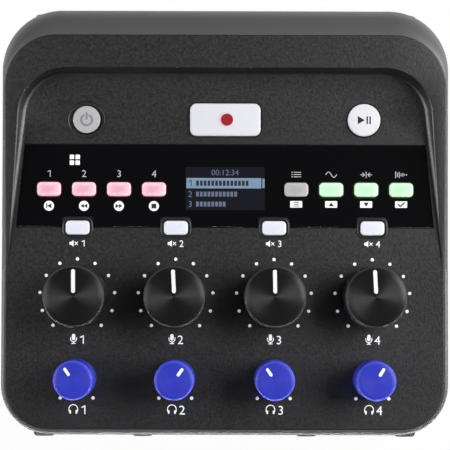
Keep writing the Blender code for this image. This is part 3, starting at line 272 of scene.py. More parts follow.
DECK = Matrix.Translation((0, COVER_FRONT_Y, FRONT_HEIGHT)) @ Matrix.Rotation(DECK_SLOPE, 4, "X")

# Camera, in the deck's frame
EYE = (0.0, 0.0360, 0.5050)
AIM = (0.0, 0.05605, 0.0)
LENS_MM = 147.04
SENSOR_MM = 36
CLIP_NEAR = 0.01
CLIP_FAR = 60
ROLL_DEG = 0.17


def placed(name, data, place=None):
    """Shows data in the scene as an object."""
    made = bpy.data.objects.new(name, data)
    bpy.context.scene.collection.objects.link(made)
    if place:
        made.matrix_world = place
    return made


def make_camera():
    data = bpy.data.cameras.new("camera")
    data.lens = LENS_MM
    data.sensor_width = SENSOR_MM
    data.clip_start = CLIP_NEAR
    data.clip_end = CLIP_FAR
    eye, aim = DECK @ Vector(EYE), DECK @ Vector(AIM)
    ahead = (aim - eye).normalized()
    right = ahead.cross(DECK.to_3x3() @ Vector((0, 1, 0))).normalized()
    up = right.cross(ahead)
    turn = Matrix((right, up, -ahead)).transposed().to_4x4()
    roll = Matrix.Rotation(math.radians(ROLL_DEG), 4, "Z")
    bpy.context.scene.camera = placed("camera", data, Matrix.Translation(eye) @ turn @ roll)


make_camera()


# Nodes


def put(tree, socket, given):
    """Feeds a socket with a link from another socket, or with a value."""
    if isinstance(given, bpy.types.NodeSocket):
        tree.links.new(given, socket)
    elif socket.type == "RGBA":
        socket.default_value = (*given, 1.0)
    else:
        socket.default_value = given


def node(tree, kind, inputs, **settings):
    """Adds a node with its settings and inputs, and gives its outputs."""
    made = tree.nodes.new(f"ShaderNode{kind}")
    for name, value in settings.items():
        setattr(made, name, value)
    for key, given in inputs.items():
        put(tree, made.inputs[key], given)
    return made.outputs


def noise(tree, source, size, detail=3.0):
    inputs = {"Vector": source, "Scale": 1 / size, "Detail": detail, "Roughness": 0.55}
    return node(tree, "TexNoise", inputs)["Fac"]


def spread(tree, source, low, high, start=0.3, end=0.7):
    """Stretches the values between start and end to run from low to high."""
    inputs = {"Value": source, "From Min": start, "From Max": end, "To Min": low, "To Max": high}
    return node(tree, "MapRange", inputs)["Result"]


def blend(tree, share, first, second, mode="MIX"):
    """A colour mix. The share, first and second may each be a value or a socket."""
    return node(tree, "Mix", {0: share, 6: first, 7: second}, data_type="RGBA", blend_type=mode)[2]


def maths(tree, operation, *given):
    return node(tree, "Math", dict(enumerate(given)), operation=operation)["Value"]


def reach(tree, place, scale):
    """Distance from the middle, with each direction scaled."""
    stretched = node(tree, "VectorMath", {0: place, 1: scale}, operation="MULTIPLY")["Vector"]
    return node(tree, "VectorMath", {0: stretched}, operation="LENGTH")["Value"]


def relief(tree, height, depth):
    return node(tree, "Bump", {"Distance": depth, "Height": height})["Normal"]


def scaled(colour, by):
    return tuple(min(1.0, part * by) for part in colour)


def varied(tree, pattern, colour, by):
    """A colour that a pattern turns darker and lighter by a share."""
    return blend(tree, spread(tree, pattern, 0, 1), scaled(colour, 1 - by), scaled(colour, 1 + by))


def base(name):
    """A new material, its node tree and the place on the object."""
    made = bpy.data.materials.new(name)
    made.use_nodes = True
    return made, made.node_tree, node(made.node_tree, "TexCoord", {})["Object"]


def shade(tree, inputs):
    """Feeds the inputs of a material's main shader."""
    for key, given in inputs.items():
        put(tree, tree.nodes["Principled BSDF"].inputs[key], given)


# Materials

FINE_SHARE = 0.4
MOTTLE = 1.3
COAT_ROUGH = 0.1
CAP_CLOUD = 0.0016
CAP_GRAIN = 0.0003
CAP_RELIEF = 0.000004
CAP_TONE_RUN = (0.2, 1.05)
# Heights over which the painted shade at a key's foot fades out.
CAP_FOOT_SHADE_RUN = (0.0001, 0.00045)
CAP_ROUGH = (0.37, 0.47)
SPUN_PATCH = 0.006
SPUN_VARY = 0.12
PATCH_VARY = 0.05
SPUN_TURN = 0.25
SCREEN_CLOUD = 0.004
SCREEN_GAP = 0.08


def surface(name, colour, rough, metallic=0.0, vary=0.10, rough_vary=0.06, grain=0.0004,
            depth=0.000010, patch=0.012, coat=0.0, specular=0.5, glow=0.0):
    """A finish with fine grain, broad patches of tone and gloss, and relief."""
    made, tree, place = base(name)
    fine = noise(tree, place, grain)
    broad = noise(tree, place, patch, 4.0)
    tone = blend(tree, FINE_SHARE, varied(tree, fine, colour, vary), varied(tree, broad, colour, vary / 3))
    mottle = noise(tree, place, grain * MOTTLE, 2.0)
    shade(tree, {
        "Base Color": tone,
        "Roughness": spread(tree, mottle, rough - rough_vary, rough + rough_vary),
        "Normal": relief(tree, fine, depth),
        # glow makes the finish glow though it is no lamp: painted light, used on the prints and pointers.
        "Emission Color": tone,
        "Emission Strength": glow,
        "Metallic": metallic,
        "Coat Weight": coat,
        "Coat Roughness": COAT_ROUGH,
        "Specular IOR Level": specular,
    })
    return made


def lit_key(name, middle, edge, half, low, strength=0.10, ripple=0.25):
    """A translucent key cap lit from behind: its tone runs from middle to edge, and it darkens at its foot, a
    painted shade low on its sides where it stands in the deck's opening.
    """
    made, tree, place = base(name)
    away = reach(tree, place, (1 / half[0], 1 / half[1], 0))
    wave = spread(tree, noise(tree, place, CAP_CLOUD, 2.0), -ripple, ripple)
    share = spread(tree, maths(tree, "ADD", away, wave), 0, 1, *CAP_TONE_RUN)
    # Painted shade: the cap darkens low on its sides, near the deck's opening.
    height = node(tree, "SeparateXYZ", {0: place})["Z"]
    foot = spread(tree, height, 1, 0, *CAP_FOOT_SHADE_RUN)
    tone = blend(tree, foot, blend(tree, share, middle, edge), low)
    grain = noise(tree, place, CAP_GRAIN)
    shade(tree, {
        "Base Color": tone,
        "Emission Color": tone,
        "Emission Strength": strength,
        "Roughness": spread(tree, grain, *CAP_ROUGH),
        "Normal": relief(tree, grain, CAP_RELIEF),
    })
    return made


def spun(name, colour, rough, anisotropy, ring=0.00016, depth=0.000004):
    """A turned face: fine grooves run round the axis, and stretch its highlights along the radius."""
    made, tree, place = base(name)
    along = node(tree, "CombineXYZ", {"X": reach(tree, place, (1, 1, 0))})["Vector"]
    grooves = noise(tree, along, ring, 2.0)
    broad = noise(tree, place, SPUN_PATCH)
    tangent = node(tree, "Tangent", {}, direction_type="RADIAL", axis="Z")["Tangent"]
    tone = blend(tree, 0.5, varied(tree, grooves, colour, SPUN_VARY), varied(tree, broad, colour, PATCH_VARY))
    shade(tree, {
        "Base Color": tone,
        "Roughness": spread(tree, grooves, rough - 0.03, rough + 0.03),
        "Normal": relief(tree, grooves, depth),
        "Tangent": tangent,
        "Anisotropic": anisotropy,
        "Anisotropic Rotation": SPUN_TURN,
    })
    return made


def screen_glow(name, colour, dot=0.00017):
    """A lit area of the display, with its grid of dots faintly showing."""
    made, tree, place = base(name)
    grid = node(tree, "TexBrick", {
        "Vector": place,
        "Scale": 1 / dot,
        "Brick Width": 1.0,
        "Row Height": 1.0,
        "Mortar Size": SCREEN_GAP,
        "Color1": colour,
        "Color2": scaled(colour, 0.92),
        "Mortar": scaled(colour, 0.6),
    }, offset=0.0)["Color"]
    cloud = noise(tree, place, SCREEN_CLOUD, 2.0)
    wave = blend(tree, spread(tree, cloud, 0, 1), (0.88, 0.88, 0.88), (1.0, 1.0, 1.0))
    shade(tree, {
        "Base Color": (0.01, 0.01, 0.014),
        "Emission Color": blend(tree, 1.0, grid, wave, "MULTIPLY"),
        "Emission Strength": 1.0,
        "Roughness": spread(tree, cloud, 0.10, 0.16),
    })
    return made


MATERIALS = {
    "cover": surface("cover_grain", (0.0065, 0.0062, 0.0066), 0.42, vary=0.80, rough_vary=0.07,
                     grain=0.00055, depth=0.000045, patch=0.030, specular=1.0),
    "case": surface("case_satin", (0.078, 0.076, 0.078), 0.44, vary=0.06, grain=0.00016,
                    depth=0.000002, patch=0.020, specular=0.75),
    "window": surface("window_gloss", (0.0035, 0.0035, 0.0042), 0.07, vary=0.15, rough_vary=0.02,
                      grain=0.0012, depth=0.0000006, patch=0.030),
    "knob_side": surface("knob_black", (0.0095, 0.0095, 0.0105), 0.38, vary=0.12, grain=0.0002,
                         depth=0.000004),
    "knob_top": spun("knob_spun_black", (0.0085, 0.0085, 0.0095), 0.36, 0.85),
    # The black knobs' rim is a lighter black than the knob: a painted highlight on the chamfer.
    "knob_rim_painted_highlight": surface("knob_rim_black_painted_highlight", (0.038, 0.038, 0.039), 0.58, vary=0.08, grain=0.0002,
                         depth=0.0000005, specular=0.2),
    "blue_side": surface("knob_blue", (0.030, 0.045, 0.45), 0.36, vary=0.07, grain=0.0002,
                         depth=0.000003),
    "blue_top": spun("knob_spun_blue", (0.030, 0.042, 0.50), 0.40, 0.35, ring=0.0004, depth=0.000003),
    # The blue knobs' rim is a lighter blue than the knob: a painted highlight on the chamfer.
    "blue_rim_painted_highlight": surface("knob_rim_blue_painted_highlight", (0.068, 0.082, 0.62), 0.52, vary=0.06, grain=0.0002,
                         depth=0.0000005, specular=0.25),
    # White pointer paint, with a glow of painted light that brightens it.
    "pointer": surface("pointer_white_painted_glow", (0.86, 0.86, 0.87), 0.45, vary=0.03, grain=0.0002,
                       depth=0.000003, glow=0.15),
    # White print, with a glow of painted light that keeps the marks bright where the knobs shade them.
    "ink": surface("ink_white_painted_glow", (0.80, 0.80, 0.80), 0.50, vary=0.04, grain=0.0002, depth=0.000002,
                   glow=0.40),
    # Grey print, with a faint glow of painted light.
    "ink_soft": surface("ink_grey_painted_glow", (0.50, 0.50, 0.50), 0.50, vary=0.06, grain=0.0002, depth=0.000002,
                        glow=0.06),
    "ink_dark": surface("ink_dark", (0.018, 0.018, 0.022), 0.45, grain=0.0002, depth=0.000002),
    "symbol": surface("symbol_grey", (0.25, 0.25, 0.26), 0.45, grain=0.0003),
    "frame": surface("frame_plastic", (0.020, 0.020, 0.023), 0.32, grain=0.0002, depth=0.000003),
    "jack": surface("jack_plastic", (0.010, 0.010, 0.011), 0.40, vary=0.15, grain=0.0003,
                    depth=0.000004),
    "xlr": surface("socket_plastic", (0.013, 0.013, 0.014), 0.42, vary=0.15, grain=0.0003,
                   depth=0.000006),
    "steel": surface("plated_steel", (0.52, 0.52, 0.54), 0.26, 1.0, vary=0.06, grain=0.0003,
                     depth=0.000002),
    "dark_steel": surface("black_steel", (0.05, 0.05, 0.055), 0.35, 0.9, vary=0.12, grain=0.0003,
                          depth=0.000003),
    "gold": surface("gold_contact", (0.72, 0.48, 0.17), 0.28, 1.0, vary=0.06, grain=0.0003,
                    depth=0.000002),
    "rubber": surface("foot_rubber", (0.014, 0.014, 0.014), 0.82, vary=0.20, depth=0.00002,
                      specular=0.3),
    "cell": surface("cell_wrap", (0.035, 0.040, 0.050), 0.30, 0.2, grain=0.0006, depth=0.000003,
                    patch=0.010, coat=0.3),
    "cell_band": surface("cell_band", (0.50, 0.33, 0.12), 0.28, 0.7, vary=0.06, grain=0.0006,
                         depth=0.000003),
    "board": surface("board_green", (0.012, 0.070, 0.030), 0.40, vary=0.25, grain=0.0008,
                     depth=0.000020, patch=0.006),
    "pot": surface("pot_metal", (0.48, 0.48, 0.50), 0.34, 0.9, vary=0.08, depth=0.000004),
    "glass": surface("screen_glass", (0.006, 0.007, 0.012), 0.10, vary=0.12, rough_vary=0.02,
                     grain=0.0010, depth=0.0000005),
    "screen": screen_glow("screen_dark", (0.0020, 0.0023, 0.0050)),
    "screen_bar": screen_glow("screen_bar", (0.26, 0.385, 0.54)),
    "screen_text": screen_glow("screen_text", (0.17, 0.21, 0.30)),
    "red": surface("record_red", (0.32, 0.012, 0.022), 0.40, vary=0.08, grain=0.0003, depth=0.000003),
}


# Shapes

QUADRANTS = ((1, 1), (-1, 1), (-1, -1), (1, -1))


def solid(name, shape, place):
    """Turns a bmesh into an object, with its points merged and its faces turned outwards."""
    bmesh.ops.remove_doubles(shape, verts=shape.verts, dist=SAME_POINT)
    bmesh.ops.recalc_face_normals(shape, faces=shape.faces)
    mesh = bpy.data.meshes.new(name)
    shape.to_mesh(mesh)
    shape.free()
    return placed(name, mesh, place)


def carve(made, joins, cuts):
    """Joins solids to a piece, then cuts solids out of it. Each is a bmesh with its place."""
    steps = [("UNION", *join) for join in joins] + [("DIFFERENCE", *cut) for cut in cuts]
    for operation, shape, place in steps:
        step = made.modifiers.new("cutter", "BOOLEAN")
        step.operation = operation
        step.solver = "EXACT"
        step.object = solid("cutter", shape, place)
    bpy.context.view_layer.update()
    graph = bpy.context.evaluated_depsgraph_get()
    result = bpy.data.meshes.new_from_object(made.evaluated_get(graph), depsgraph=graph)
    others = [step.object for step in made.modifiers]
    made.modifiers.clear()
    made.data = result
    for other in others:
        bpy.data.objects.remove(other)


def piece(name, shape, look, body, replaced=(), place=None, sharp=SHARP_DEG, joins=(), cuts=()):
    """Turns a bmesh into a piece that rides on a body.

    The look is one material or a list of them. Joins and cuts are bmeshes, each with its place.
    """
    made = solid(name, shape, place)
    for material in look if isinstance(look, list) else [look]:
        made.data.materials.append(material)
    if joins or cuts:
        carve(made, joins, cuts)
    made.data.shade_smooth()
    made.data.set_sharp_from_angle(angle=math.radians(sharp))
    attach(made, body)
    if replaced:
        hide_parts(*replaced)


def add_rings(shape, rings, matrix=None, looks=None, caps=True):
    """Adds rings of equal count, joined one to the next and capped. looks gives each band's material."""
    place = matrix or Matrix.Identity(4)
    loops = [[shape.verts.new(place @ Vector(point)) for point in ring] for ring in rings]
    for band, (lower, upper) in enumerate(zip(loops, loops[1:])):
        for i in range(len(lower)):
            j = (i + 1) % len(lower)
            face = shape.faces.new((lower[i], lower[j], upper[j], upper[i]))
            face.material_index = looks[band] if looks else 0
    if caps:
        shape.faces.new(list(reversed(loops[0]))).material_index = looks[0] if looks else 0
        shape.faces.new(loops[-1]).material_index = looks[-1] if looks else 0
    return shape


def ringed(rings, matrix=None, looks=None, caps=True):
    return add_rings(bmesh.new(), rings, matrix, looks, caps)


def quarter(steps, turn=0):
    """Angles through a quarter turn, beginning after a number of such turns."""
    return [QUARTER_TURN * (turn + i / steps) for i in range(steps + 1)]


def around(centre, radius, angles):
    """Points on a circle, one for each angle."""
    x, y = centre
    return [(x + radius * math.cos(angle), y + radius * math.sin(angle)) for angle in angles]


def lifted(points, z):
    return [(x, y, z) for x, y in points]


def circle(diameter, z, steps=HOLE_STEPS, centre=(0, 0)):
    angles = [2 * math.pi * (i + 0.5) / steps for i in range(steps)]
    return lifted(around(centre, diameter / 2, angles), z)


def turned(profile, steps=HOLE_STEPS, centre=(0, 0)):
    """Rings of a turned form, from its diameters and heights."""
    return [circle(diameter, z, steps, centre) for diameter, z in profile]


def rounded(width, depth, corner, z, steps=KEY_CORNER_STEPS, centre=(0, 0)):
    points = []
    for turn, (side_x, side_y) in enumerate(QUADRANTS):
        middle = (centre[0] + side_x * (width / 2 - corner), centre[1] + side_y * (depth / 2 - corner))
        points += around(middle, corner, quarter(steps, turn))
    return lifted(points, z)


def rounded_edge(width, depth, corner, z, radius, steps=KEY_CORNER_STEPS, centre=(0, 0), up=1):
    """Rings that roll a slab's edge over from its side to its face at height z."""
    rings = []
    for angle in quarter(EDGE_STEPS):
        inset = radius * (1 - math.cos(angle))
        size = (width - 2 * inset, depth - 2 * inset, max(corner - inset, LEAST_CORNER))
        rings.append(rounded(*size, z - up * radius * (1 - math.sin(angle)), steps, centre))
    return rings


def add_cylinder(shape, diameter, ends, centre=(0, 0), steps=HOLE_STEPS, matrix=None):
    add_rings(shape, [circle(diameter, z, steps, centre) for z in ends], matrix)


def add_block(shape, width, depth, ends, centre=(0, 0), matrix=None):
    sides = [(centre[0] + a * width / 2, centre[1] + b * depth / 2) for a, b in QUADRANTS]
    return add_rings(shape, [lifted(sides, z) for z in ends], matrix)


def blocks(width, depth, ends, centres):
    shape = bmesh.new()
    for centre in centres:
        add_block(shape, width, depth, ends, centre)
    return shape


def row(count, pitch):
    """Evenly spaced steps about the middle."""
    return [(k - (count - 1) / 2) * pitch for k in range(count)]


def add_slab(shape, size, ends, centre=(0, 0), matrix=None):
    """Adds a slab with rounded corners. Its size is its width, depth and corner."""
    return add_rings(shape, [rounded(*size, z, centre=centre) for z in ends], matrix)


def grown(width, depth, corner, by=GAP):
    return width + 2 * by, depth + 2 * by, corner + by


def channel_x(index):
    return row(CHANNELS, CHANNEL_PITCH)[index]


def pad_x(side, index):
    return side * PAD_GROUP_OUT + row(CHANNELS, PAD_PITCH)[index]


# Outlines


def deck_z(y):
    return FRONT_HEIGHT + (y - COVER_FRONT_Y) * math.tan(DECK_SLOPE)


def top_z(y):
    return deck_z(y) if y <= CREASE_Y else CREASE_Z + (y - CREASE_Y) * math.tan(RIM_SLOPE)


def plan_corner(middle, radius, angles):
    return [(*point, angle) for point, angle in zip(around(middle, radius, angles), angles)]


def plan_loop(half, front, rear, corner_front, corner_rear, lean=0.0):
    """Plan outline as (x, y, angle of the outward normal), with a point on each side at the crease."""
    right = [(0, front, -QUARTER_TURN)]
    middle = (half - corner_front, front + corner_front)
    right += plan_corner(middle, corner_front, quarter(CORNER_STEPS, -1))
    right.append((half, CREASE_Y, 0.0))
    middle_y = rear - corner_rear
    side = half * math.cos(lean) + CREASE_Y * math.sin(lean)
    middle_x = (side - corner_rear - middle_y * math.sin(lean)) / math.cos(lean)
    angles = [lean + (QUARTER_TURN - lean) * i / CORNER_STEPS for i in range(CORNER_STEPS + 1)]
    right += plan_corner((middle_x, middle_y), corner_rear, angles)
    right.append((0, rear, QUARTER_TURN))
    left = [(-x, y, math.pi - angle) for x, y, angle in reversed(right[1:-1])]
    return right + left


def moved(loop, out):
    """An outline moved outwards, by one step or by a step for each point."""
    steps = out if isinstance(out, list) else [out] * len(loop)
    return [(x + s * math.cos(a), y + s * math.sin(a), a) for (x, y, a), s in zip(loop, steps)]


def at_height(loop, height, drop=0.0):
    """Ring of an outline at a height, or at a height that depends on y, less a drop."""
    return [(x, y, (height(y) if callable(height) else height) - drop) for x, y, _ in loop]


def body_loop(inset=0.0):
    return plan_loop(HALF_WIDTH - inset, Y_FRONT + inset, Y_REAR - inset,
                     BODY_CORNER_FRONT - inset, BODY_CORNER_REAR - inset)


def cover_loop(out=0.0):
    return plan_loop(HALF_WIDTH - COVER_IN_SIDE + out, COVER_FRONT_Y - out, COVER_BACK_Y + out,
                     COVER_CORNER_FRONT + out, COVER_CORNER_REAR + out)


def recess_loop():
    inset = COVER_IN_SIDE + RECESS_IN_SIDE
    return plan_loop(HALF_WIDTH - inset, COVER_FRONT_Y + RECESS_IN_SIDE,
                     COVER_FRONT_Y + RECESS_BACK * math.cos(DECK_SLOPE),
                     COVER_CORNER_FRONT - RECESS_IN_SIDE, RECESS_CORNER, RECESS_LEAN)


def recess_depth(y):
    return top_z(y) - deck_z(y)


def recess_lip(y, angle):
    side, rear = math.cos(angle) ** 2, math.sin(angle) ** 2
    return min(RECESS_LIP * side + REAR_LIP * rear, recess_depth(y) / 2)


def wall_form(y, angle):
    """Run, foot radius and that radius's first and last angle for the recess wall, from side to rear."""
    side, rear = math.cos(angle) ** 2, math.sin(angle) ** 2
    draft = SIDE_DRAFT * side + REAR_DRAFT * rear
    radius = (SIDE_FILLET - FILLET_FADE * max(0.0, recess_depth(y))) * side + REAR_FILLET * rear
    wall = max(0.0, recess_depth(y) - recess_lip(y, angle))
    start, end = FOOT_TURN * side, QUARTER_TURN - draft
    arc_height = radius * (math.cos(start) - math.cos(end))
    if wall > arc_height:
        upright = (wall - arc_height) * math.tan(draft)
    else:
        end, upright = math.acos(math.cos(start) - wall / radius), 0.0
    return radius * (math.sin(end) - math.sin(start)) + upright, radius, start, end


def deck_half(back):
    """Half of the deck's width at a distance from the cover's front edge."""
    y = COVER_FRONT_Y + back * math.cos(DECK_SLOPE)
    upper = HALF_WIDTH - COVER_IN_SIDE - RECESS_IN_SIDE - (y - CREASE_Y) * math.tan(RECESS_LEAN)
    return upper - wall_form(y, 0.0)[0]


def keys():
    """Every key as (name, x, back, (width, depth, corner), proud, travel, kind)."""
    power = (POWER_DIAMETER, POWER_DIAMETER, POWER_DIAMETER / 2)
    record = (RECORD_WIDTH, RECORD_DEPTH, RECORD_CORNER)
    play = (PLAY_DIAMETER, PLAY_DIAMETER, PLAY_DIAMETER / 2)
    found = [
        ("power_button", -TRANSPORT_OUT, TRANSPORT_ROW, power, POWER_PROUD, POWER_TRAVEL, "power"),
        ("record_button", 0, TRANSPORT_ROW, record, RECORD_PROUD, RECORD_TRAVEL, "record"),
        ("play_button", TRANSPORT_OUT, TRANSPORT_ROW, play, PLAY_PROUD, PLAY_TRAVEL, "play"),
    ]
    right_names = ("menu_button", "function_button_1", "function_button_2", "function_button_3")
    form = ((PAD_WIDTH, PAD_DEPTH, PAD_CORNER), PAD_PROUD, PAD_TRAVEL)
    for i in range(CHANNELS):
        found.append((f"sound_pad_{i + 1}", pad_x(-1, i), PAD_ROW, *form, "pink"))
        found.append((right_names[i], pad_x(1, i), PAD_ROW, *form, "grey" if i == 0 else "green"))
        found.append((f"mute_button_{i + 1}", channel_x(i), MUTE_ROW, *form, "white"))
    return found


def key_openings(ends, rows):
    """Shape that cuts the openings of the keys in some rows."""
    holes = bmesh.new()
    for _, x, back, size, *_ in keys():
        if back in rows:
            add_slab(holes, grown(*size), ends, (x, back))
    return holes


# Cover


def cover_rings():
    """Rings of the cover: up the recess's wall, over its lip and the rim, and back underneath."""
    upper, outer = recess_loop(), cover_loop()
    lips = [recess_lip(y, angle) for _, y, angle in upper]
    forms = [wall_form(y, angle) for _, y, angle in upper]
    rings = []
    for step in range(FILLET_STEPS + 1):
        ring = []
        for (x, y, angle), (run, radius, start, end) in zip(upper, forms):
            turn = start + (end - start) * step / FILLET_STEPS
            inward = run - radius * (math.sin(turn) - math.sin(start))
            px, py = x - inward * math.cos(angle), y - inward * math.sin(angle)
            ring.append((px, py, deck_z(py) + radius * (math.cos(start) - math.cos(turn))))
        rings.append(ring)
    for angle in quarter(ROUND_STEPS):
        loop = moved(upper, [lip * (1 - math.cos(angle)) for lip in lips])
        rings.append([
            (x, y, top_z(point[1]) - lip * (1 - math.sin(angle)))
            for (x, y, _), point, lip in zip(loop, upper, lips)
        ])
    for angle in quarter(EDGE_STEPS):
        loop = moved(outer, -COVER_EDGE_ROUND * (1 - math.sin(angle)))
        rings.append(at_height(loop, top_z, COVER_EDGE_ROUND * (1 - math.cos(angle))))
    rings.append(at_height(outer, top_z, COVER_THICK))
    shares = [(recess_depth(y) - UNDER_FROM) / (UNDER_FULL - UNDER_FROM) for _, y, _ in upper]
    under_out = [UNDER_OUT * min(1, max(0, share)) for share in shares]
    under = moved(upper, under_out)
    rings.append([(x, y, top_z(point[1]) - COVER_THICK) for (x, y, _), point in zip(under, upper)])
    lower = moved(upper, [-form[0] for form in forms])
    rings.append(at_height(moved(lower, under_out), deck_z, COVER_THICK))
    return rings


def power_dish():
    """Shape that cuts the shallow dish round the power key."""
    profile = [(POWER_DIAMETER + 2 * GAP, -POWER_DISH_DEPTH)]
    for angle in quarter(ROUND_STEPS):
        wide = POWER_DISH - 2 * POWER_DISH_DEPTH * (1 - math.sin(angle))
        profile.append((wide, -POWER_DISH_DEPTH * math.cos(angle)))
    profile.append((POWER_DISH, OVER))
    return ringed(turned(profile, KNOB_STEPS), Matrix.Translation((-TRANSPORT_OUT, TRANSPORT_ROW, 0)))


def make_cover():
    shape = ringed(cover_rings())
    bmesh.ops.remove_doubles(shape, verts=shape.verts, dist=SAME_COVER_POINT)
    pocket = ringed([band_ring(GAP, z) for z in (-BAND_THICK - GAP, OVER)])
    ends = (PANEL_UNDER - OVER, OVER)
    holes = key_openings(ends, (TRANSPORT_ROW, PAD_ROW, MUTE_ROW))
    for i in range(CHANNELS):
        for back in (MIC_ROW, PHONES_ROW):
            add_cylinder(holes, SHAFT + 2 * SHAFT_PLAY, ends, (channel_x(i), back))
    add_block(holes, SCREEN_WIDTH, SCREEN_DEPTH, ends, (0, PAD_ROW))
    cuts = [(pocket, DECK), (holes, DECK), (power_dish(), DECK)]
    piece("cover_shell", shape, MATERIALS["cover"], "case", ["top_cover"], cuts=cuts)


# Gloss window and the mute keys' frames

WINDOW_BEVEL = 0.00008
FRAME_TRIM = 0.0001
FRAME_LOW = -0.0008
FRAME_FOOT = -0.0003
FRAME_LAND = 0.00012
FRAME_LAND_IN = 0.0009
FRAME_TOP = 0.00030
FRAME_ROUND = 0.00022


def band_ring(grow, z):
    """The gloss window's outline, with a notch for each mute key's frame, grown by a clearance."""
    front, back = BAND_FRONT - grow, BAND_BACK + grow
    half_notch = MUTE_FRAME_WIDTH / 2 + GAP - grow
    notch_top = MUTE_ROW + MUTE_FRAME_DEPTH / 2 + GAP - grow
    points = []
    for i in range(CHANNELS):
        middle = channel_x(i)
        points.append((middle - half_notch, front))
        for side, start in ((-1, math.pi), (1, QUARTER_TURN)):
            corner = (middle + side * (half_notch - BAND_NOTCH_CORNER), notch_top - BAND_NOTCH_CORNER)
            angles = [start - angle for angle in quarter(KEY_CORNER_STEPS)]
            points += around(corner, BAND_NOTCH_CORNER, angles)
        points.append((middle + half_notch, front))
    right = [
        (deck_half(BAND_FRONT) - BAND_SIDE_GAP + grow, front),
        (deck_half(BAND_BACK) - BAND_SIDE_GAP + grow, back),
    ]
    points += right + [(-x, y) for x, y in reversed(right)]
    return lifted(points, z)


def make_window():
    levels = ((0.0, -BAND_THICK), (0.0, -WINDOW_BEVEL), (-WINDOW_BEVEL, 0.0))
    shape = ringed([band_ring(grow, z) for grow, z in levels])
    cuts = [(key_openings((-BAND_THICK - OVER, OVER), (PAD_ROW,)), DECK)]
    piece("window_gloss_plate", shape, MATERIALS["window"], "case", ["window_panel"],
          DECK, WINDOW_SHARP_DEG, cuts=cuts)


def make_frames():
    """The low raised frame round each mute key."""
    shape = bmesh.new()
    hole = grown(PAD_WIDTH, PAD_DEPTH, PAD_CORNER)
    wide = (MUTE_FRAME_WIDTH - FRAME_TRIM, MUTE_FRAME_DEPTH - FRAME_TRIM, PAD_CORNER + MUTE_FRAME_OUT)
    for i in range(CHANNELS):
        at = {"centre": (channel_x(i), MUTE_ROW)}
        rings = [rounded(*hole, FRAME_LOW, **at), rounded(*hole, FRAME_LAND, **at)]
        rings.append(rounded(*grown(*wide, -FRAME_LAND_IN / 2), FRAME_LAND, **at))
        rings += reversed(rounded_edge(*wide, FRAME_TOP, FRAME_ROUND, **at))
        rings.append(rounded(*wide, FRAME_FOOT, **at))
        add_rings(shape, rings + rings[:1], caps=False)
    piece("mute_frames", shape, MATERIALS["frame"], "case", place=DECK)


# Keys

# Of each kind: tone in the middle, tone at the edge, half sizes, painted shade at the foot, strength, ripple
KEY_TONES = {
    "power": ((0.47, 0.47, 0.48), (0.50, 0.50, 0.51), (0.0045, 0.0045), (0.05, 0.05, 0.05), 0.0),
    "record": ((0.80, 0.40, 0.48), (0.76, 0.76, 0.82), (0.0024, 0.0024), (0.25, 0.10, 0.12), 0.02, 0.05),
    "play": ((0.80, 0.80, 0.84), (0.78, 0.78, 0.83), (0.0050, 0.0050), (0.10, 0.10, 0.12), 0.02),
    "pink": ((0.80, 0.38, 0.50), (0.90, 0.62, 0.70), (0.0036, 0.0022), (0.22, 0.006, 0.016), 0.16),
    "grey": ((0.44, 0.43, 0.43), (0.54, 0.53, 0.52), (0.0036, 0.0022), (0.05, 0.05, 0.05), 0.0),
    "green": ((0.50, 0.86, 0.55), (0.66, 0.92, 0.66), (0.0036, 0.0022), (0.016, 0.20, 0.012), 0.16),
    "white": ((0.74, 0.77, 0.90), (0.80, 0.81, 0.87), (0.0036, 0.0022), (0.10, 0.10, 0.13), 0.06),
}
KEY_LOOKS = {kind: lit_key(f"key_{kind}", *tones) for kind, tones in KEY_TONES.items()}
KEY_EDGES = {"power": 0.00035, "record": 0.00040, "play": 0.00040}
PAD_EDGE = 0.00045


def make_keys():
    stem = (STEM, STEM, STEM / 2)
    low = KEY_FLANGE_TOP - FLANGE_THICK
    for name, x, back, size, proud, travel, kind in keys():
        flange = grown(*size, FLANGE_OUT)
        rings = [
            rounded(*stem, SWITCH_TOP + GAP + travel),
            rounded(*stem, low),
            rounded(*flange, low),
            rounded(*flange, KEY_FLANGE_TOP),
            rounded(*size, KEY_FLANGE_TOP),
        ]
        rings += rounded_edge(*grown(*size, -CAP_TRIM / 2), proud, KEY_EDGES.get(kind, PAD_EDGE))
        place = DECK @ Matrix.Translation((x, back, 0))
        piece(f"{name}_cap", ringed(rings), KEY_LOOKS[kind], name, [name], place,
              KEY_SHARP_DEG)


# Printed marks

MM = 0.001
PRINT_LIFT = 0.0000001
LOW_PRINT = 0.00002
HIGH_PRINT = 0.00005
SYMBOL_LIFT = 0.00001
SCALE_END_DEG = 140
SIGN_ROW = 0.0700
PAD_DIGIT_ROW = 0.0701
PAD_SIGN_ROW = 0.0612
FUNCTION_SIGN_ROW = 0.0618
GRID_SIGN = (-0.04140, 0.0739)
LINE = 0.24


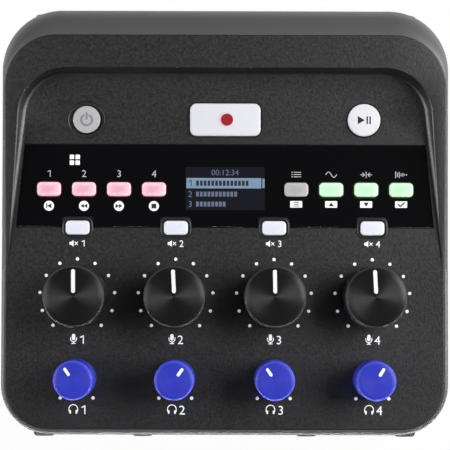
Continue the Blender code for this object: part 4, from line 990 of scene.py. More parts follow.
class Marks:
    """Flat marks in one plane, each a hair above the last, so that none lies in another."""

    def __init__(self, height):
        self.shape = bmesh.new()
        self.height = height
        self.count = 0
        self.go(0.0, 0.0)

    def go(self, x, y, scale=1.0):
        """Sets where the next marks lie and how large their millimetres are."""
        self.at = (x, y)
        self.size = MM * scale

    def add(self, points):
        z = self.height + self.count * PRINT_LIFT
        self.count += 1
        ax, ay = self.at
        corners = [self.shape.verts.new((ax + x * self.size, ay + y * self.size, z)) for x, y, *_ in points]
        self.shape.faces.new(corners)

    def disc(self, x, y, radius, steps=28):
        self.add(around((x, y), radius, [2 * math.pi * i / steps for i in range(steps)]))

    def box(self, x, y, width, height, corner=0.0):
        if corner:
            self.add(rounded(width, height, corner, 0, 5, (x, y)))
        else:
            a, b = width / 2, height / 2
            self.add([(x - a, y - b), (x + a, y - b), (x + a, y + b), (x - a, y + b)])

    def line(self, points, width=LINE, caps=True):
        for (ax, ay), (bx, by) in zip(points, points[1:]):
            length = math.hypot(bx - ax, by - ay)
            nx, ny = -(by - ay) / length * width / 2, (bx - ax) / length * width / 2
            self.add([(ax - nx, ay - ny), (bx - nx, by - ny), (bx + nx, by + ny), (ax + nx, ay + ny)])
        for x, y in points if caps else points[1:-1]:
            self.disc(x, y, width / 2, 16)

    def arc(self, radius, start, end, y=0.0, width=LINE, steps=20):
        angles = [math.radians(start + (end - start) * i / steps) for i in range(steps + 1)]
        self.line(around((0, y), radius, angles), width)

    def digits(self, text, x, y, height):
        """Plain numerals of a given height, centred on a point. A lone one is drawn with its flag."""
        if text == "1":
            a, b = height / 2, height * 0.12
            stem, top = x + a * 0.30, y + a - b / 2
            self.line([(stem, y - a + b / 2), (stem, top)], b)
            self.line([(stem, top), (x - a * 0.40, y + a * 0.52)], b)
            return
        curve = bpy.data.curves.new("numerals", "FONT")
        curve.body = text
        curve.size = 1.0
        curve.resolution_u = 5
        holder = placed("numerals", curve)
        bpy.context.view_layer.update()
        graph = bpy.context.evaluated_depsgraph_get()
        mesh = bpy.data.meshes.new_from_object(holder.evaluated_get(graph), depsgraph=graph)
        xs = [vertex.co.x for vertex in mesh.vertices]
        ys = [vertex.co.y for vertex in mesh.vertices]
        scale = height / (max(ys) - min(ys))
        middle_x, middle_y = (max(xs) + min(xs)) / 2, (max(ys) + min(ys)) / 2
        for polygon in mesh.polygons:
            corners = [(xs[v] - middle_x, ys[v] - middle_y) for v in polygon.vertices]
            self.add([(x + right * scale, y + up * scale) for right, up in corners])
            self.count -= 1
        self.count += 1
        bpy.data.objects.remove(holder)
        bpy.data.curves.remove(curve)
        bpy.data.meshes.remove(mesh)

    def done(self, name, look, body="case", place=DECK):
        self.shape.normal_update()
        for face in self.shape.faces:
            if face.normal.z < 0:
                face.normal_flip()
        mesh = bpy.data.meshes.new(name)
        self.shape.to_mesh(mesh)
        self.shape.free()
        mesh.materials.append(MATERIALS[look])
        made = placed(name, mesh, place)
        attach(made, body)


def microphone(marks):
    marks.line([(0, 0.05), (0, 0.95)], 0.98)
    marks.arc(0.86, 180, 360)
    marks.line([(-0.86, 0.0), (-0.86, 0.35)])
    marks.line([(0.86, 0.0), (0.86, 0.35)])
    marks.line([(0, -0.86), (0, -1.30)], 0.30, False)
    marks.line([(-0.52, -1.32), (0.52, -1.32)])


def headphones(marks):
    marks.arc(1.20, -15, 195)
    marks.line([(-0.86, -0.50), (-0.86, -1.05)], 0.46)
    marks.line([(0.86, -0.50), (0.86, -1.05)], 0.46)
    marks.line([(-1.20, 0.0), (-1.16, -0.6)])
    marks.line([(1.20, 0.0), (1.16, -0.6)])


def muted_speaker(marks):
    marks.add([(-1.15, -0.42), (-0.65, -0.42), (0.05, -1.0), (0.05, 1.0), (-0.65, 0.42), (-1.15, 0.42)])
    marks.line([(0.45, -0.42), (1.25, 0.42)], 0.22)
    marks.line([(0.45, 0.42), (1.25, -0.42)], 0.22)


# Each sign of a channel: how far left, how far back, its scale, then its number's right, back and height
CHANNEL_SIGNS = (
    (microphone, 0.00095, 0.0247, 0.95, 1.3775, 0.0245, 2.3275),
    (headphones, 0.00090, 0.0055, 1.00, 1.90, 0.0053, 2.45),
    (muted_speaker, 0.00115, 0.0509, 0.92, 1.55, 0.0509, 1.80),
)


def dot_scale(marks, x, back, radius, dot, count):
    """Dots round a knob, from one end of its travel to the other."""
    marks.go(x, back)
    for k in range(count):
        angle = math.radians(2 * SCALE_END_DEG * k / (count - 1) - SCALE_END_DEG)
        marks.disc(radius * math.sin(angle), radius * math.cos(angle), dot)


def print_deck():
    marks = Marks(LOW_PRINT)
    for i in range(CHANNELS):
        x = channel_x(i)
        dot_scale(marks, x, MIC_ROW, 10.3, 0.45, 11)
        dot_scale(marks, x, PHONES_ROW, 7.0, 0.46, 2)
        for sign, left, back, scale, number_x, number_back, height in CHANNEL_SIGNS:
            marks.go(x - left, back, scale)
            sign(marks)
            marks.go(x, number_back)
            marks.digits(str(i + 1), number_x, 0, height)
    marks.done("deck_print", "ink")


def print_window_white():
    """Four small squares, and the white ground under each pad's and function key's sign."""
    marks = Marks(LOW_PRINT)
    marks.go(*GRID_SIGN)
    for a in (-1, 1):
        for b in (-1, 1):
            marks.box(0.79 * a, 0.79 * b, 1.22, 1.22, 0.12)
    for i in range(CHANNELS):
        marks.go(pad_x(-1, i), PAD_SIGN_ROW)
        marks.disc(0, 0, 1.38, 40)
        marks.go(pad_x(1, i), FUNCTION_SIGN_ROW)
        marks.box(0, 0, 3.30, 1.80, 0.12)
    marks.done("window_print_white", "ink")


def print_window_grey():
    """The pads' numbers, and behind the function keys a list, a wave, two meeting arrows and levels."""
    width = 0.22
    marks = Marks(LOW_PRINT)
    for i in range(CHANNELS):
        marks.go(pad_x(-1, i), PAD_DIGIT_ROW)
        marks.digits(str(i + 1), 0, 0, 1.90)
    marks.go(pad_x(1, 0), SIGN_ROW)
    for row in (-0.62, 0.0, 0.62):
        marks.disc(-1.15, row, 0.17, 14)
        marks.line([(-0.65, row), (1.25, row)], 0.20)
    marks.go(pad_x(1, 1), SIGN_ROW)
    marks.line([(-1.5 + 3.0 * k / 24, 0.72 * math.sin(2 * math.pi * k / 24)) for k in range(25)], width)
    marks.go(pad_x(1, 2), SIGN_ROW)
    for side in (-1, 1):
        marks.line([(1.5 * side, 0), (0.45 * side, 0)], width)
    for side in (-1, 1):
        marks.line([(0.95 * side, 0.5), (0.45 * side, 0), (0.95 * side, -0.5)], width)
    marks.line([(0, -0.8), (0, 0.8)], width)
    marks.go(pad_x(1, 3), SIGN_ROW)
    for k, tall in enumerate((0.85, 0.45, 0.70, 0.30, 0.45, 0.12, 0.12)):
        marks.line([(-1.5 + 0.5 * k, -tall), (-1.5 + 0.5 * k, tall)], width)
    marks.done("window_print_grey", "ink_soft")


def print_window_dark():
    """The signs on the white grounds: skip, back, ahead and stop, then list, up, down and tick."""
    marks = Marks(HIGH_PRINT)
    marks.go(pad_x(-1, 0), PAD_SIGN_ROW, 1.25)
    marks.box(-0.50, 0, 0.22, 1.10)
    marks.add([(0.52, -0.56), (0.52, 0.56), (-0.38, 0)])
    for pad, way in ((1, 1), (2, -1)):
        marks.go(pad_x(-1, pad), PAD_SIGN_ROW, 1.25)
        marks.add([(0.0, -0.50), (0.0, 0.50), (-0.76 * way, 0)])
        marks.add([(0.74 * way, -0.50), (0.74 * way, 0.50), (-0.02 * way, 0)])
    marks.go(pad_x(-1, 3), PAD_SIGN_ROW, 1.25)
    marks.box(0, 0, 1.05, 1.05, 0.08)
    marks.go(pad_x(1, 0), FUNCTION_SIGN_ROW, 1.1)
    for row in (-0.45, 0.0, 0.45):
        marks.box(0, row, 1.35, 0.20)
    for pad, way in ((1, 1), (2, -1)):
        marks.go(pad_x(1, pad), FUNCTION_SIGN_ROW, 1.1)
        marks.add([(-0.66, -0.48 * way), (0.66, -0.48 * way), (0, 0.55 * way)])
    marks.go(pad_x(1, 3), FUNCTION_SIGN_ROW, 1.1)
    marks.line([(-0.72, 0.02), (-0.18, -0.46), (0.80, 0.44)], 0.34)
    marks.done("window_print_dark", "ink_dark")


# Display

SCREEN_MIDDLE = 0.0661
SCREEN_HIGH = 0.00004
SCREEN_HIGHEST = 0.00006
PICKED_ROW = 67.55
NEXT_ROW = 64.55
ROW_PITCH = 2.75
ROW_NUMBER_X = -9.6
LEVEL_X = -7.6
LEVEL_PITCH = 1.05
LEVEL_WIDTH = 0.75


def level_boxes(marks, y, count, height):
    for k in range(count):
        marks.box(LEVEL_X + LEVEL_PITCH * k, y, LEVEL_WIDTH, height)


def make_display():
    """What the display shows: a counter over three rows of levels, the first of them picked."""
    ground = Marks(LOW_PRINT)
    ground.go(0, SCREEN_MIDDLE)
    ground.box(0, 0, 21.8, 11.9, 0.2)
    ground.done("display_ground", "screen")
    bar = Marks(SCREEN_HIGH)
    bar.box(-0.35, PICKED_ROW, 20.6, 2.85)
    bar.box(10.55, PICKED_ROW, 0.62, 2.60)
    bar.done("display_bar", "screen_bar")
    text = Marks(SCREEN_HIGH)
    text.digits("00:12:34", 0, 70.5, 1.55)
    for row, (mark, level) in enumerate((("2", 11), ("3", 8))):
        y = NEXT_ROW - ROW_PITCH * row
        text.digits(mark, ROW_NUMBER_X, y, 1.65)
        level_boxes(text, y, level, 1.35)
    text.done("display_rows", "screen_text")
    picked = Marks(SCREEN_HIGHEST)
    picked.digits("1", ROW_NUMBER_X, PICKED_ROW, 1.75)
    level_boxes(picked, PICKED_ROW, 14, 1.45)
    picked.done("display_row_picked", "ink_dark")


def transport_place(x):
    return DECK @ Matrix.Translation((x, TRANSPORT_ROW, 0))


def make_key_marks():
    power = Marks(POWER_PROUD + SYMBOL_LIFT)
    power.arc(1.50, 122, 418, y=-0.1, width=0.52, steps=32)
    power.line([(0, 0.15), (0, 1.80)], 0.52)
    power.done("power_symbol", "symbol", "power_button", transport_place(-TRANSPORT_OUT))
    red = Marks(RECORD_PROUD + SYMBOL_LIFT)
    red.disc(0.45, 0.0, 1.68, 56)
    red.done("record_dot", "red", "record_button", transport_place(0))
    play = Marks(PLAY_PROUD + SYMBOL_LIFT)
    play.add([(-1.75, -1.15), (0.15, 0), (-1.75, 1.15)])
    play.box(0.85, 0, 0.42, 2.1)
    play.box(1.65, 0, 0.42, 2.1)
    play.done("play_symbol", "ink_dark", "play_button", transport_place(TRANSPORT_OUT))


# Knobs

KNOB_CHAMFER = 0.00042
KNOB_SOFT = 0.00012
KNOB_FOOT_ROUND = 0.00015
KNOB_FACE_SHARES = (0.8, 0.6, 0.4, 0.2, 0.05)
KNOB_SOFT_DEEP = 0.00010
KNOB_FACE_DEEP = 0.00004
POINTER_DEEP = 0.00025
POINTER_LOW = 0.00024
POINTER_HIGH = 0.00005
POINTER_TRIM = 0.00004
POINTER_END = 0.00001
MIC_POINTER = (0.0009, 0.0073, 0.0011)
PHONES_POINTER = (0.0015, 0.0041, 0.0009)


def pointer_slab(pointer, trim, ends):
    """Slab for a pointer, given as its near end, far end and width."""
    near, far, wide = pointer
    size = (wide - trim, far - near - trim, (wide - trim) / 2 - POINTER_END)
    return add_slab(bmesh.new(), size, ends, (0, (near + far) / 2))


def make_knob(name, x, back, top, base_width, angle_deg, looks, pointer):
    face = top - 2 * KNOB_CHAMFER
    profile = [
        (SHAFT, PANEL_UNDER - POT_HEIGHT + POT_FLOOR),
        (SHAFT, KNOB_CLEAR),
        (base_width - 2 * KNOB_FOOT_ROUND, KNOB_CLEAR),
        (base_width, KNOB_CLEAR + KNOB_FOOT_ROUND),
        (top, KNOB_HEIGHT - KNOB_CHAMFER),
        (top - KNOB_SOFT, KNOB_HEIGHT - KNOB_CHAMFER + KNOB_SOFT_DEEP),
        (face, KNOB_HEIGHT - KNOB_FACE_DEEP),
        (face - KNOB_SOFT, KNOB_HEIGHT),
    ]
    profile += [(face * share, KNOB_HEIGHT) for share in KNOB_FACE_SHARES]
    # The chamfer band takes the rim finish, whose lighter tone is a painted highlight.
    bands = [0, 0, 0, 0, 2, 2, 2] + [1] * len(KNOB_FACE_SHARES)
    place = DECK @ Matrix.Translation((x, back, 0)) @ Matrix.Rotation(math.radians(angle_deg), 4, "Z")
    groove = pointer_slab(pointer, 0.0, (KNOB_HEIGHT - POINTER_DEEP, KNOB_HEIGHT + OVER))
    piece(f"{name}_turned", ringed(turned(profile, KNOB_STEPS), looks=bands),
          [MATERIALS[look] for look in looks], name, [name], place, cuts=[(groove, place)])
    inlay = pointer_slab(pointer, POINTER_TRIM, (KNOB_HEIGHT - POINTER_LOW, KNOB_HEIGHT - POINTER_HIGH))
    piece(f"{name}_pointer", inlay, MATERIALS["pointer"], name, place=place)


def make_knobs():
    for i in range(CHANNELS):
        x = channel_x(i)
        make_knob(f"mic_knob_{i + 1}", x, MIC_ROW, MIC_KNOB_TOP, MIC_KNOB_BASE, MIC_ANGLES_DEG[i],
                  ("knob_side", "knob_top", "knob_rim_painted_highlight"), MIC_POINTER)
        make_knob(f"phones_knob_{i + 1}", x, PHONES_ROW, PHONES_KNOB_TOP, PHONES_KNOB_BASE,
                  PHONES_ANGLES_DEG[i], ("blue_side", "blue_top", "blue_rim_painted_highlight"), PHONES_POINTER)


# Lower case


def rear_frame(x, out=0.0):
    return Matrix.Translation((x, Y_REAR + out, XLR_UP)) @ Matrix.Rotation(-QUARTER_TURN, 4, "X")


def front_frame(x):
    middle = (x, Y_FRONT + JACK_WALL_IN, JACK_AXIS_Z)
    return Matrix.Translation(middle) @ Matrix.Rotation(QUARTER_TURN, 4, "X")


def side_frame(side, y, z):
    across = Matrix.Rotation(side * QUARTER_TURN, 4, "Y") @ Matrix.Rotation(side * QUARTER_TURN, 4, "Z")
    return Matrix.Translation((side * HALF_WIDTH, y, z)) @ across


def screw_places():
    front = [(side * SCREW_OUT_FRONT, SCREW_Y_FRONT) for side in (-1, 1)]
    return front + [(side * SCREW_OUT_REAR, SCREW_Y_REAR) for side in (-1, 1)]


def foot_places():
    return (("foot_front", Y_FRONT + FOOT_IN_FRONT), ("foot_rear", Y_REAR - FOOT_IN_REAR))


def jacks():
    """Every small jack as (name, place, nose, proud)."""
    front = (-PHONES_JACK_OUTER, -PHONES_JACK_INNER, PHONES_JACK_INNER, PHONES_JACK_OUTER)
    found = [(f"phones_jack_{i + 1}", front_frame(x), JACK_NOSE, JACK_PROUD) for i, x in enumerate(front)]
    for i, y in enumerate((SIDE_JACK_FRONT_Y, SIDE_JACK_REAR_Y)):
        found.append((f"side_jack_{i + 1}", side_frame(1, y, JACK_AXIS_Z), SIDE_JACK_NOSE, SIDE_JACK_PROUD))
    return found


def case_rings():
    """Rings of the case: up its outside, over the rolled lip, and down inside to the floor."""
    body, seat = body_loop(), cover_loop(SEAM)
    rings = []
    for angle in quarter(ROUND_STEPS):
        inset = BASE_IN + BASE_ROUND * (1 - math.sin(angle))
        rings.append(at_height(body_loop(inset), FOOT_HEIGHT + BASE_ROUND * (1 - math.cos(angle))))
    for angle in reversed(quarter(LIP_STEPS)):
        ring = []
        for (bx, by, _), (sx, sy, _) in zip(body, seat):
            radius = math.hypot(bx - sx, by - sy)
            x, y = sx + (bx - sx) * math.sin(angle), sy + (by - sy) * math.sin(angle)
            ring.append((x, y, top_z(sy) - radius * (1 - math.cos(angle))))
        rings.append(ring)
    drop = COVER_THICK + GAP
    ledge = moved(seat, -LEDGE)
    inner = plan_loop(HALF_WIDTH - WALL, Y_FRONT + WALL, Y_REAR - REAR_WALL,
                      BODY_CORNER_FRONT - WALL, BODY_CORNER_REAR - WALL)
    rings.append(at_height(seat, top_z, drop))
    rings.append(at_height(ledge, top_z, drop))
    rings.append(at_height(ledge, top_z, drop + SHELF))
    rings.append([(x, y, top_z(point[1]) - drop - SHELF - LEDGE) for (x, y, _), point in zip(inner, ledge)])
    rings.append(at_height(inner, FLOOR_TOP))
    return rings


def inner_walls():
    """The screws' bosses and the walls of the cell bay."""
    shape = bmesh.new()
    low = FOOT_HEIGHT + FLOOR / 2
    for place in screw_places():
        add_cylinder(shape, BOSS + 2 * GAP, (low, BOSS_SPLIT), place)
    size = (BAY_LENGTH + 2 * BAY_WALL, BAY_DEPTH + 2 * BAY_WALL)
    return add_block(shape, *size, (low, BAY_TOP + BAY_WALL), (0, BAY_Y))


def tab_slots():
    low = FOOT_HEIGHT + TAB_UP - GAP
    length = TAB_REACH + GAP + OVER
    y = BAY_FRONT_Y - TAB_REACH - GAP + length / 2
    return blocks(TAB_WIDTH + 2 * GAP, length, (low, low + TAB_SLOT), ((-TAB_OUT, y), (TAB_OUT, y)))


def screw_ways():
    shape = bmesh.new()
    step = FOOT_HEIGHT + SCREW_HEAD_UP
    head, shank = SCREW_HEAD + 2 * GAP, SCREW_SHANK + 2 * GAP
    profile = ((head, FOOT_HEIGHT - OVER), (head, step), (shank, step), (shank, BOSS_SPLIT + OVER))
    for place in screw_places():
        add_rings(shape, turned(profile, centre=place))
    return shape


def wall_openings():
    """Openings for the small jacks, the USB port and the memory card."""
    shape = bmesh.new()
    ends = (-WALL * 2 - OVER, OVER)
    for _, place, *_ in jacks():
        add_cylinder(shape, JACK_COLLAR + 2 * GAP, ends, matrix=place)
    usb = (USB_WIDTH + 2 * GAP, USB_HEIGHT + 2 * GAP, USB_HEIGHT / 2)
    add_slab(shape, usb, ends, matrix=side_frame(-1, USB_Y, USB_Z))
    return add_slab(shape, grown(CARD_WIDTH, CARD_THICK, 0.0), ends, matrix=side_frame(-1, CARD_Y, CARD_Z))


def foot_seats():
    shape = bmesh.new()
    for _, y in foot_places():
        size = grown(FOOT_LENGTH, FOOT_DEPTH, FOOT_DEPTH / 2)
        add_slab(shape, size, (FOOT_HEIGHT - OVER, FOOT_HEIGHT + FOOT_SEAT), (0, y))
    return shape


def barrel_holes():
    shape = bmesh.new()
    ends = (-REAR_WALL - OVER, OVER)
    for i in range(CHANNELS):
        add_cylinder(shape, XLR_BARREL + 2 * GAP, ends, matrix=rear_frame(channel_x(i)))
    return shape


def make_case():
    bay = add_block(bmesh.new(), BAY_LENGTH, BAY_DEPTH, (FOOT_HEIGHT - OVER, BAY_TOP), (0, BAY_Y))
    shapes = (bay, tab_slots(), screw_ways(), wall_openings(), foot_seats(), barrel_holes())
    size = (2 * REAR_FLAT_HALF, XLR_FLANGE_HEIGHT + 2 * GAP, REAR_FLAT_CORNER)
    flat = add_slab(bmesh.new(), size, (-REAR_FLAT_DEPTH, OVER))
    cuts = [(shape, None) for shape in shapes] + [(flat, rear_frame(0.0))]
    piece("case_shell", ringed(case_rings()), MATERIALS["case"], "case", ["lower_case"],
          joins=[(inner_walls(), None)], cuts=cuts)


# Small jacks

JACK_BODY_CORNER = 0.0003
JACK_ROLL = 0.00075
JACK_ROLL_LONG = 0.0011
JACK_MOUTH = 0.0007
JACK_MOUTH_DEEP = 0.00035
JACK_BORE_END = 0.0002
SLEEVE_CLEAR = 0.00003
SLEEVE_LIP = 0.0009
SLEEVE_WALL = 0.00015
SLEEVE_HIGH = 0.0022
SLEEVE_LOW = 0.0050


def make_jack(name, place, nose, proud):
    inside, bottom = proud - nose, proud - JACK_BORE_DEPTH
    body = (JACK_WIDTH, JACK_HEIGHT, JACK_BODY_CORNER)
    shape = add_slab(bmesh.new(), body, (inside - JACK_LENGTH, inside))
    profile = [(JACK_COLLAR, inside)]
    for angle in quarter(EDGE_STEPS):
        wide = JACK_COLLAR - 2 * JACK_ROLL * (1 - math.cos(angle))
        profile.append((wide, proud - JACK_ROLL_LONG * (1 - math.sin(angle))))
    profile += [(JACK_BORE + JACK_MOUTH, proud), (JACK_BORE, proud - JACK_MOUTH_DEEP),
                (JACK_BORE, bottom), (JACK_BORE_END, bottom)]
    add_rings(shape, turned(profile))
    piece(f"{name}_socket", shape, MATERIALS["jack"], "case", [name], place)
    outside, lip = JACK_BORE - SLEEVE_CLEAR, JACK_BORE - SLEEVE_LIP
    inner = outside - 2 * SLEEVE_WALL
    high, low = proud - SLEEVE_HIGH, proud - SLEEVE_LOW
    step = low + SLEEVE_WALL
    profile = ((outside, high), (outside, low), (lip, low), (lip, step), (inner, step), (inner, high),
               (outside, high))
    piece(f"{name}_sleeve", ringed(turned(profile), caps=False), MATERIALS["steel"], "case",
          place=place)


# USB port and memory card

USB_CONTACTS = 12
USB_CONTACT_PITCH = 0.0005
USB_CONTACT_WIDTH = 0.00025
USB_CONTACT_THICK = 0.00006
USB_CONTACT_IN = 0.0002
USB_LEAD = 0.0001
USB_LEAD_DEEP = 0.0002
CARD_BEVEL = 0.00008
CARD_RIDGES = 3
CARD_RIDGE_IN = 0.00045
CARD_RIDGE_PITCH = 0.00035
CARD_RIDGE_WIDTH = 0.00014
CARD_RIDGE_DEEP = 0.00006
CARD_RIDGE_SHARE = 0.8


def round_ended(width, height):
    return width, height, height / 2


def make_usb():
    place = side_frame(-1, USB_Y, USB_Z)
    back = -USB_LENGTH + USB_SHELL
    shell = round_ended(USB_WIDTH, USB_HEIGHT)
    lead = round_ended(USB_WIDTH - USB_SHELL, USB_HEIGHT - USB_SHELL)
    hollow = round_ended(USB_WIDTH - 2 * USB_SHELL, USB_HEIGHT - 2 * USB_SHELL)
    rings = [rounded(*shell, -USB_LENGTH), rounded(*shell, -USB_LEAD), rounded(*lead, 0.0),
             rounded(*hollow, -USB_LEAD_DEEP), rounded(*hollow, back)]
    piece("usb_shell", ringed(rings), MATERIALS["steel"], "case", ["usb_port"], place)
    tongue = (USB_TONGUE_WIDTH, USB_TONGUE, USB_TONGUE / 2 - GAP / 2)
    shape = add_slab(bmesh.new(), tongue, (back, -USB_TONGUE_IN))
    piece("usb_tongue", shape, MATERIALS["jack"], "case", place=place)
    centres = [(x, side * USB_TONGUE / 2) for side in (-1, 1) for x in row(USB_CONTACTS, USB_CONTACT_PITCH)]
    ends = (-USB_LENGTH / 2, -USB_TONGUE_IN - USB_CONTACT_IN)
    contacts = blocks(USB_CONTACT_WIDTH, USB_CONTACT_THICK, ends, centres)
    piece("usb_contacts", contacts, MATERIALS["gold"], "case", place=place)


def make_card():
    size = (CARD_LENGTH, CARD_WIDTH, CARD_THICK / 2)
    small = (CARD_LENGTH - 2 * CARD_BEVEL, CARD_WIDTH - 2 * CARD_BEVEL, CARD_THICK / 2)
    rings = [rounded(*small, 0), rounded(*size, CARD_BEVEL), rounded(*size, CARD_THICK - CARD_BEVEL),
             rounded(*small, CARD_THICK)]
    x = -HALF_WIDTH - CARD_PROUD + CARD_LENGTH / 2
    place = Matrix.Translation((x, CARD_Y, CARD_Z - CARD_THICK / 2))
    centres = [(-CARD_LENGTH / 2 + CARD_RIDGE_IN + CARD_RIDGE_PITCH * k, 0) for k in range(CARD_RIDGES)]
    ends = (CARD_THICK - CARD_RIDGE_DEEP, CARD_THICK + OVER)
    ridges = blocks(CARD_RIDGE_WIDTH, CARD_WIDTH * CARD_RIDGE_SHARE, ends, centres)
    piece("memory_card_body", ringed(rings), MATERIALS["jack"], "memory_card",
          ["memory_card"], place, cuts=[(ridges, place)])


# Feet and screws

FOOT_ROUND = 0.0005
FOOT_GROOVES = 23
FOOT_GROOVE_PITCH = 0.0030
FOOT_GROOVE_WIDTH = 0.0008
FOOT_GROOVE_DEEP = 0.00022
FOOT_GROOVE_SHARE = 0.66
CROSS_SHARE = 0.24
SCREW_CROSS = 0.0028
SCREW_CROSS_DEEP = 0.0012
SCREW_ROUND = ((0.0008, 0.0), (0.0003, 0.00012), (0.0, 0.0004))


def make_feet():
    size = (FOOT_LENGTH, FOOT_DEPTH, FOOT_DEPTH / 2)
    centres = [(x, 0) for x in row(FOOT_GROOVES, FOOT_GROOVE_PITCH)]
    for name, y in foot_places():
        rings = [rounded(*size, FOOT_HEIGHT + FOOT_SEAT - GAP, FOOT_STEPS)]
        rings += rounded_edge(*size, 0, FOOT_ROUND, FOOT_STEPS, up=-1)
        long = FOOT_DEPTH * FOOT_GROOVE_SHARE
        grooves = blocks(FOOT_GROOVE_WIDTH, long, (-OVER, FOOT_GROOVE_DEEP), centres)
        place = Matrix.Translation((0, y, 0))
        piece(f"{name}_pad", ringed(rings), MATERIALS["rubber"], "case", [name], place,
              cuts=[(grooves, place)])


def cross_cuts(size, ends, centres, turn, place):
    """Two cuts for crossed slots, one a quarter turn from the other, at every centre."""
    cuts = []
    for angle in (turn, turn + QUARTER_TURN):
        shape = bmesh.new()
        for centre in centres:
            matrix = Matrix.Translation((*centre, 0)) @ Matrix.Rotation(angle, 4, "Z")
            add_block(shape, size, size * CROSS_SHARE, ends, matrix=matrix)
        cuts.append((shape, place))
    return cuts


def make_screws():
    top = FOOT_HEIGHT + SCREW_HEAD_UP - GAP
    low = top - SCREW_HEAD_THICK
    profile = [(SCREW_HEAD - less, low + up) for less, up in SCREW_ROUND]
    profile += [(SCREW_HEAD, top), (SCREW_SHANK, top), (SCREW_SHANK, BOSS_SPLIT + SCREW_BITE)]
    for i, centre in enumerate(screw_places()):
        name = f"case_screw_{i + 1}"
        place = Matrix.Translation((*centre, 0))
        cuts = cross_cuts(SCREW_CROSS, (low - OVER, low + SCREW_CROSS_DEEP), [(0, 0)], 0, place)
        piece(f"{name}_turned", ringed(turned(profile)), MATERIALS["dark_steel"], "case",
              [name], place, cuts=cuts)


# Microphone inputs

XLR_MOUTH_LEAD = 0.0012
XLR_MOUTH_DEEP = 0.0006
XLR_EDGE = 0.0005
XLR_INSERT_EDGE = 0.0004
XLR_SCREWS = ((-0.0103, -0.0118), (0.0103, 0.0118))
XLR_SCREW_SEAT = ((0.0022, -0.0009), (0.0042, 0.0001), (0.0042, OVER))
XLR_SCREW_HEAD = ((0.0020, -0.0009), (0.0039, -0.00005), (0.0036, 0.00002))
XLR_CROSS = 0.0022
XLR_CROSS_DEEP = 0.0005
XLR_SCREW_TURN = 0.4
XLR_CONTACT_CLEAR = 0.0001
XLR_CONTACT_BORE = 0.0007
XLR_CONTACT_IN = 0.0016
XLR_CONTACT_BOTTOM = 0.0004
XLR_TAB = (0.0052, 0.0026, 0.0006)
XLR_TAB_AT = (0, -0.0126)
XLR_TAB_SINK = 0.0002
XLR_TAB_PROUD = 0.00045
XLR_TAB_ROUND = 0.0003


def make_xlr(index):
    name = f"xlr_jack_{index + 1}"
    place = rear_frame(channel_x(index), -REAR_FLAT_DEPTH + GAP)
    face = XLR_FLANGE_THICK
    corner_steps = HOLE_STEPS // 4 - 1
    flange = (XLR_FLANGE_WIDTH, XLR_FLANGE_HEIGHT, XLR_FLANGE_CORNER)
    bottom, insert_face = face - XLR_GROOVE_DEPTH, face - XLR_INSERT_BACK
    rings = turned(((XLR_BARREL, -XLR_LENGTH), (XLR_BARREL, 0.0)))
    rings.append(rounded(*flange, 0.0, corner_steps))
    rings += rounded_edge(*flange, face, XLR_EDGE, corner_steps)
    rings += turned((
        (XLR_MOUTH + XLR_MOUTH_LEAD, face), (XLR_MOUTH, face - XLR_MOUTH_DEEP), (XLR_MOUTH, bottom),
        (XLR_INSERT, bottom), (XLR_INSERT, insert_face - XLR_INSERT_EDGE),
        (XLR_INSERT - 2 * XLR_INSERT_EDGE, insert_face),
    ))
    low = face - XLR_CONTACT_DEPTH
    outside, bore = XLR_CONTACT - XLR_CONTACT_CLEAR, XLR_CONTACT - XLR_CONTACT_BORE
    contact = ((outside, low + XLR_CONTACT_CLEAR), (outside, face - XLR_CONTACT_IN),
               (bore, face - XLR_CONTACT_IN), (bore, low + XLR_CONTACT_BOTTOM))
    wells, metal = bmesh.new(), bmesh.new()
    for middle in around((0, 0), XLR_CONTACT_RING, [math.radians(turn) for turn in XLR_CONTACT_ANGLES_DEG]):
        add_cylinder(wells, XLR_CONTACT, (low, face + OVER), middle, CONTACT_STEPS)
        add_rings(metal, turned(contact, CONTACT_STEPS, middle))
    seat = [(wide, face + up) for wide, up in XLR_SCREW_SEAT]
    head = [(wide, face + up) for wide, up in XLR_SCREW_HEAD]
    seats, heads = bmesh.new(), bmesh.new()
    for centre in XLR_SCREWS:
        add_rings(seats, turned(seat, centre=centre))
        add_rings(heads, turned(head, centre=centre))
    tab = [rounded(*XLR_TAB, face - XLR_TAB_SINK, centre=XLR_TAB_AT)]
    tab += rounded_edge(*XLR_TAB, face + XLR_TAB_PROUD, XLR_TAB_ROUND, centre=XLR_TAB_AT)
    piece(f"{name}_socket", ringed(rings), MATERIALS["xlr"], "case", [name], place,
          cuts=[(wells, place), (seats, place)])
    piece(f"{name}_contacts", metal, MATERIALS["gold"], "case", place=place)
    ends = (face - XLR_CROSS_DEEP, face + OVER)
    piece(f"{name}_flange_screws", heads, MATERIALS["dark_steel"], "case", place=place,
          cuts=cross_cuts(XLR_CROSS, ends, XLR_SCREWS, XLR_SCREW_TURN, place))
    piece(f"{name}_release", ringed(tab), MATERIALS["jack"], "case", place=place)


# Battery lid and cells

LID_EDGE = 0.00025
LID_CORNER = 0.0008
LID_FACE_CORNER = 0.0006
ARROW_HALF = 0.0022
ARROW_BACK = 0.0020
ARROW_POINT = 0.0016
ARROW_FROM_END = 0.0110
ARROW_DEEP = 0.00025
GRIP_LINES = 4
GRIP_LINE_PITCH = 0.0007
GRIP_LINE_WIDTH = 0.0004
GRIP_LINE_DEEP = 0.00022
GRIP_FROM_END = 0.0030
CELL_BAND_LENGTH = 0.011


def thumb_dish(centre):
    """Shape that cuts the dish for the thumb."""
    rings = []
    for angle in quarter(ROUND_STEPS):
        inset = LATCH_SINK * (1 - math.sin(angle))
        size = (LATCH_WIDTH - 2 * inset, LATCH_DEPTH - 2 * inset, LATCH_DEPTH / 3 - inset / 2)
        rings.append(rounded(*size, LATCH_SINK * math.cos(angle), centre=centre))
    rings.append(rounded(LATCH_WIDTH, LATCH_DEPTH, LATCH_DEPTH / 3, -OVER, centre=centre))
    return ringed(rings)


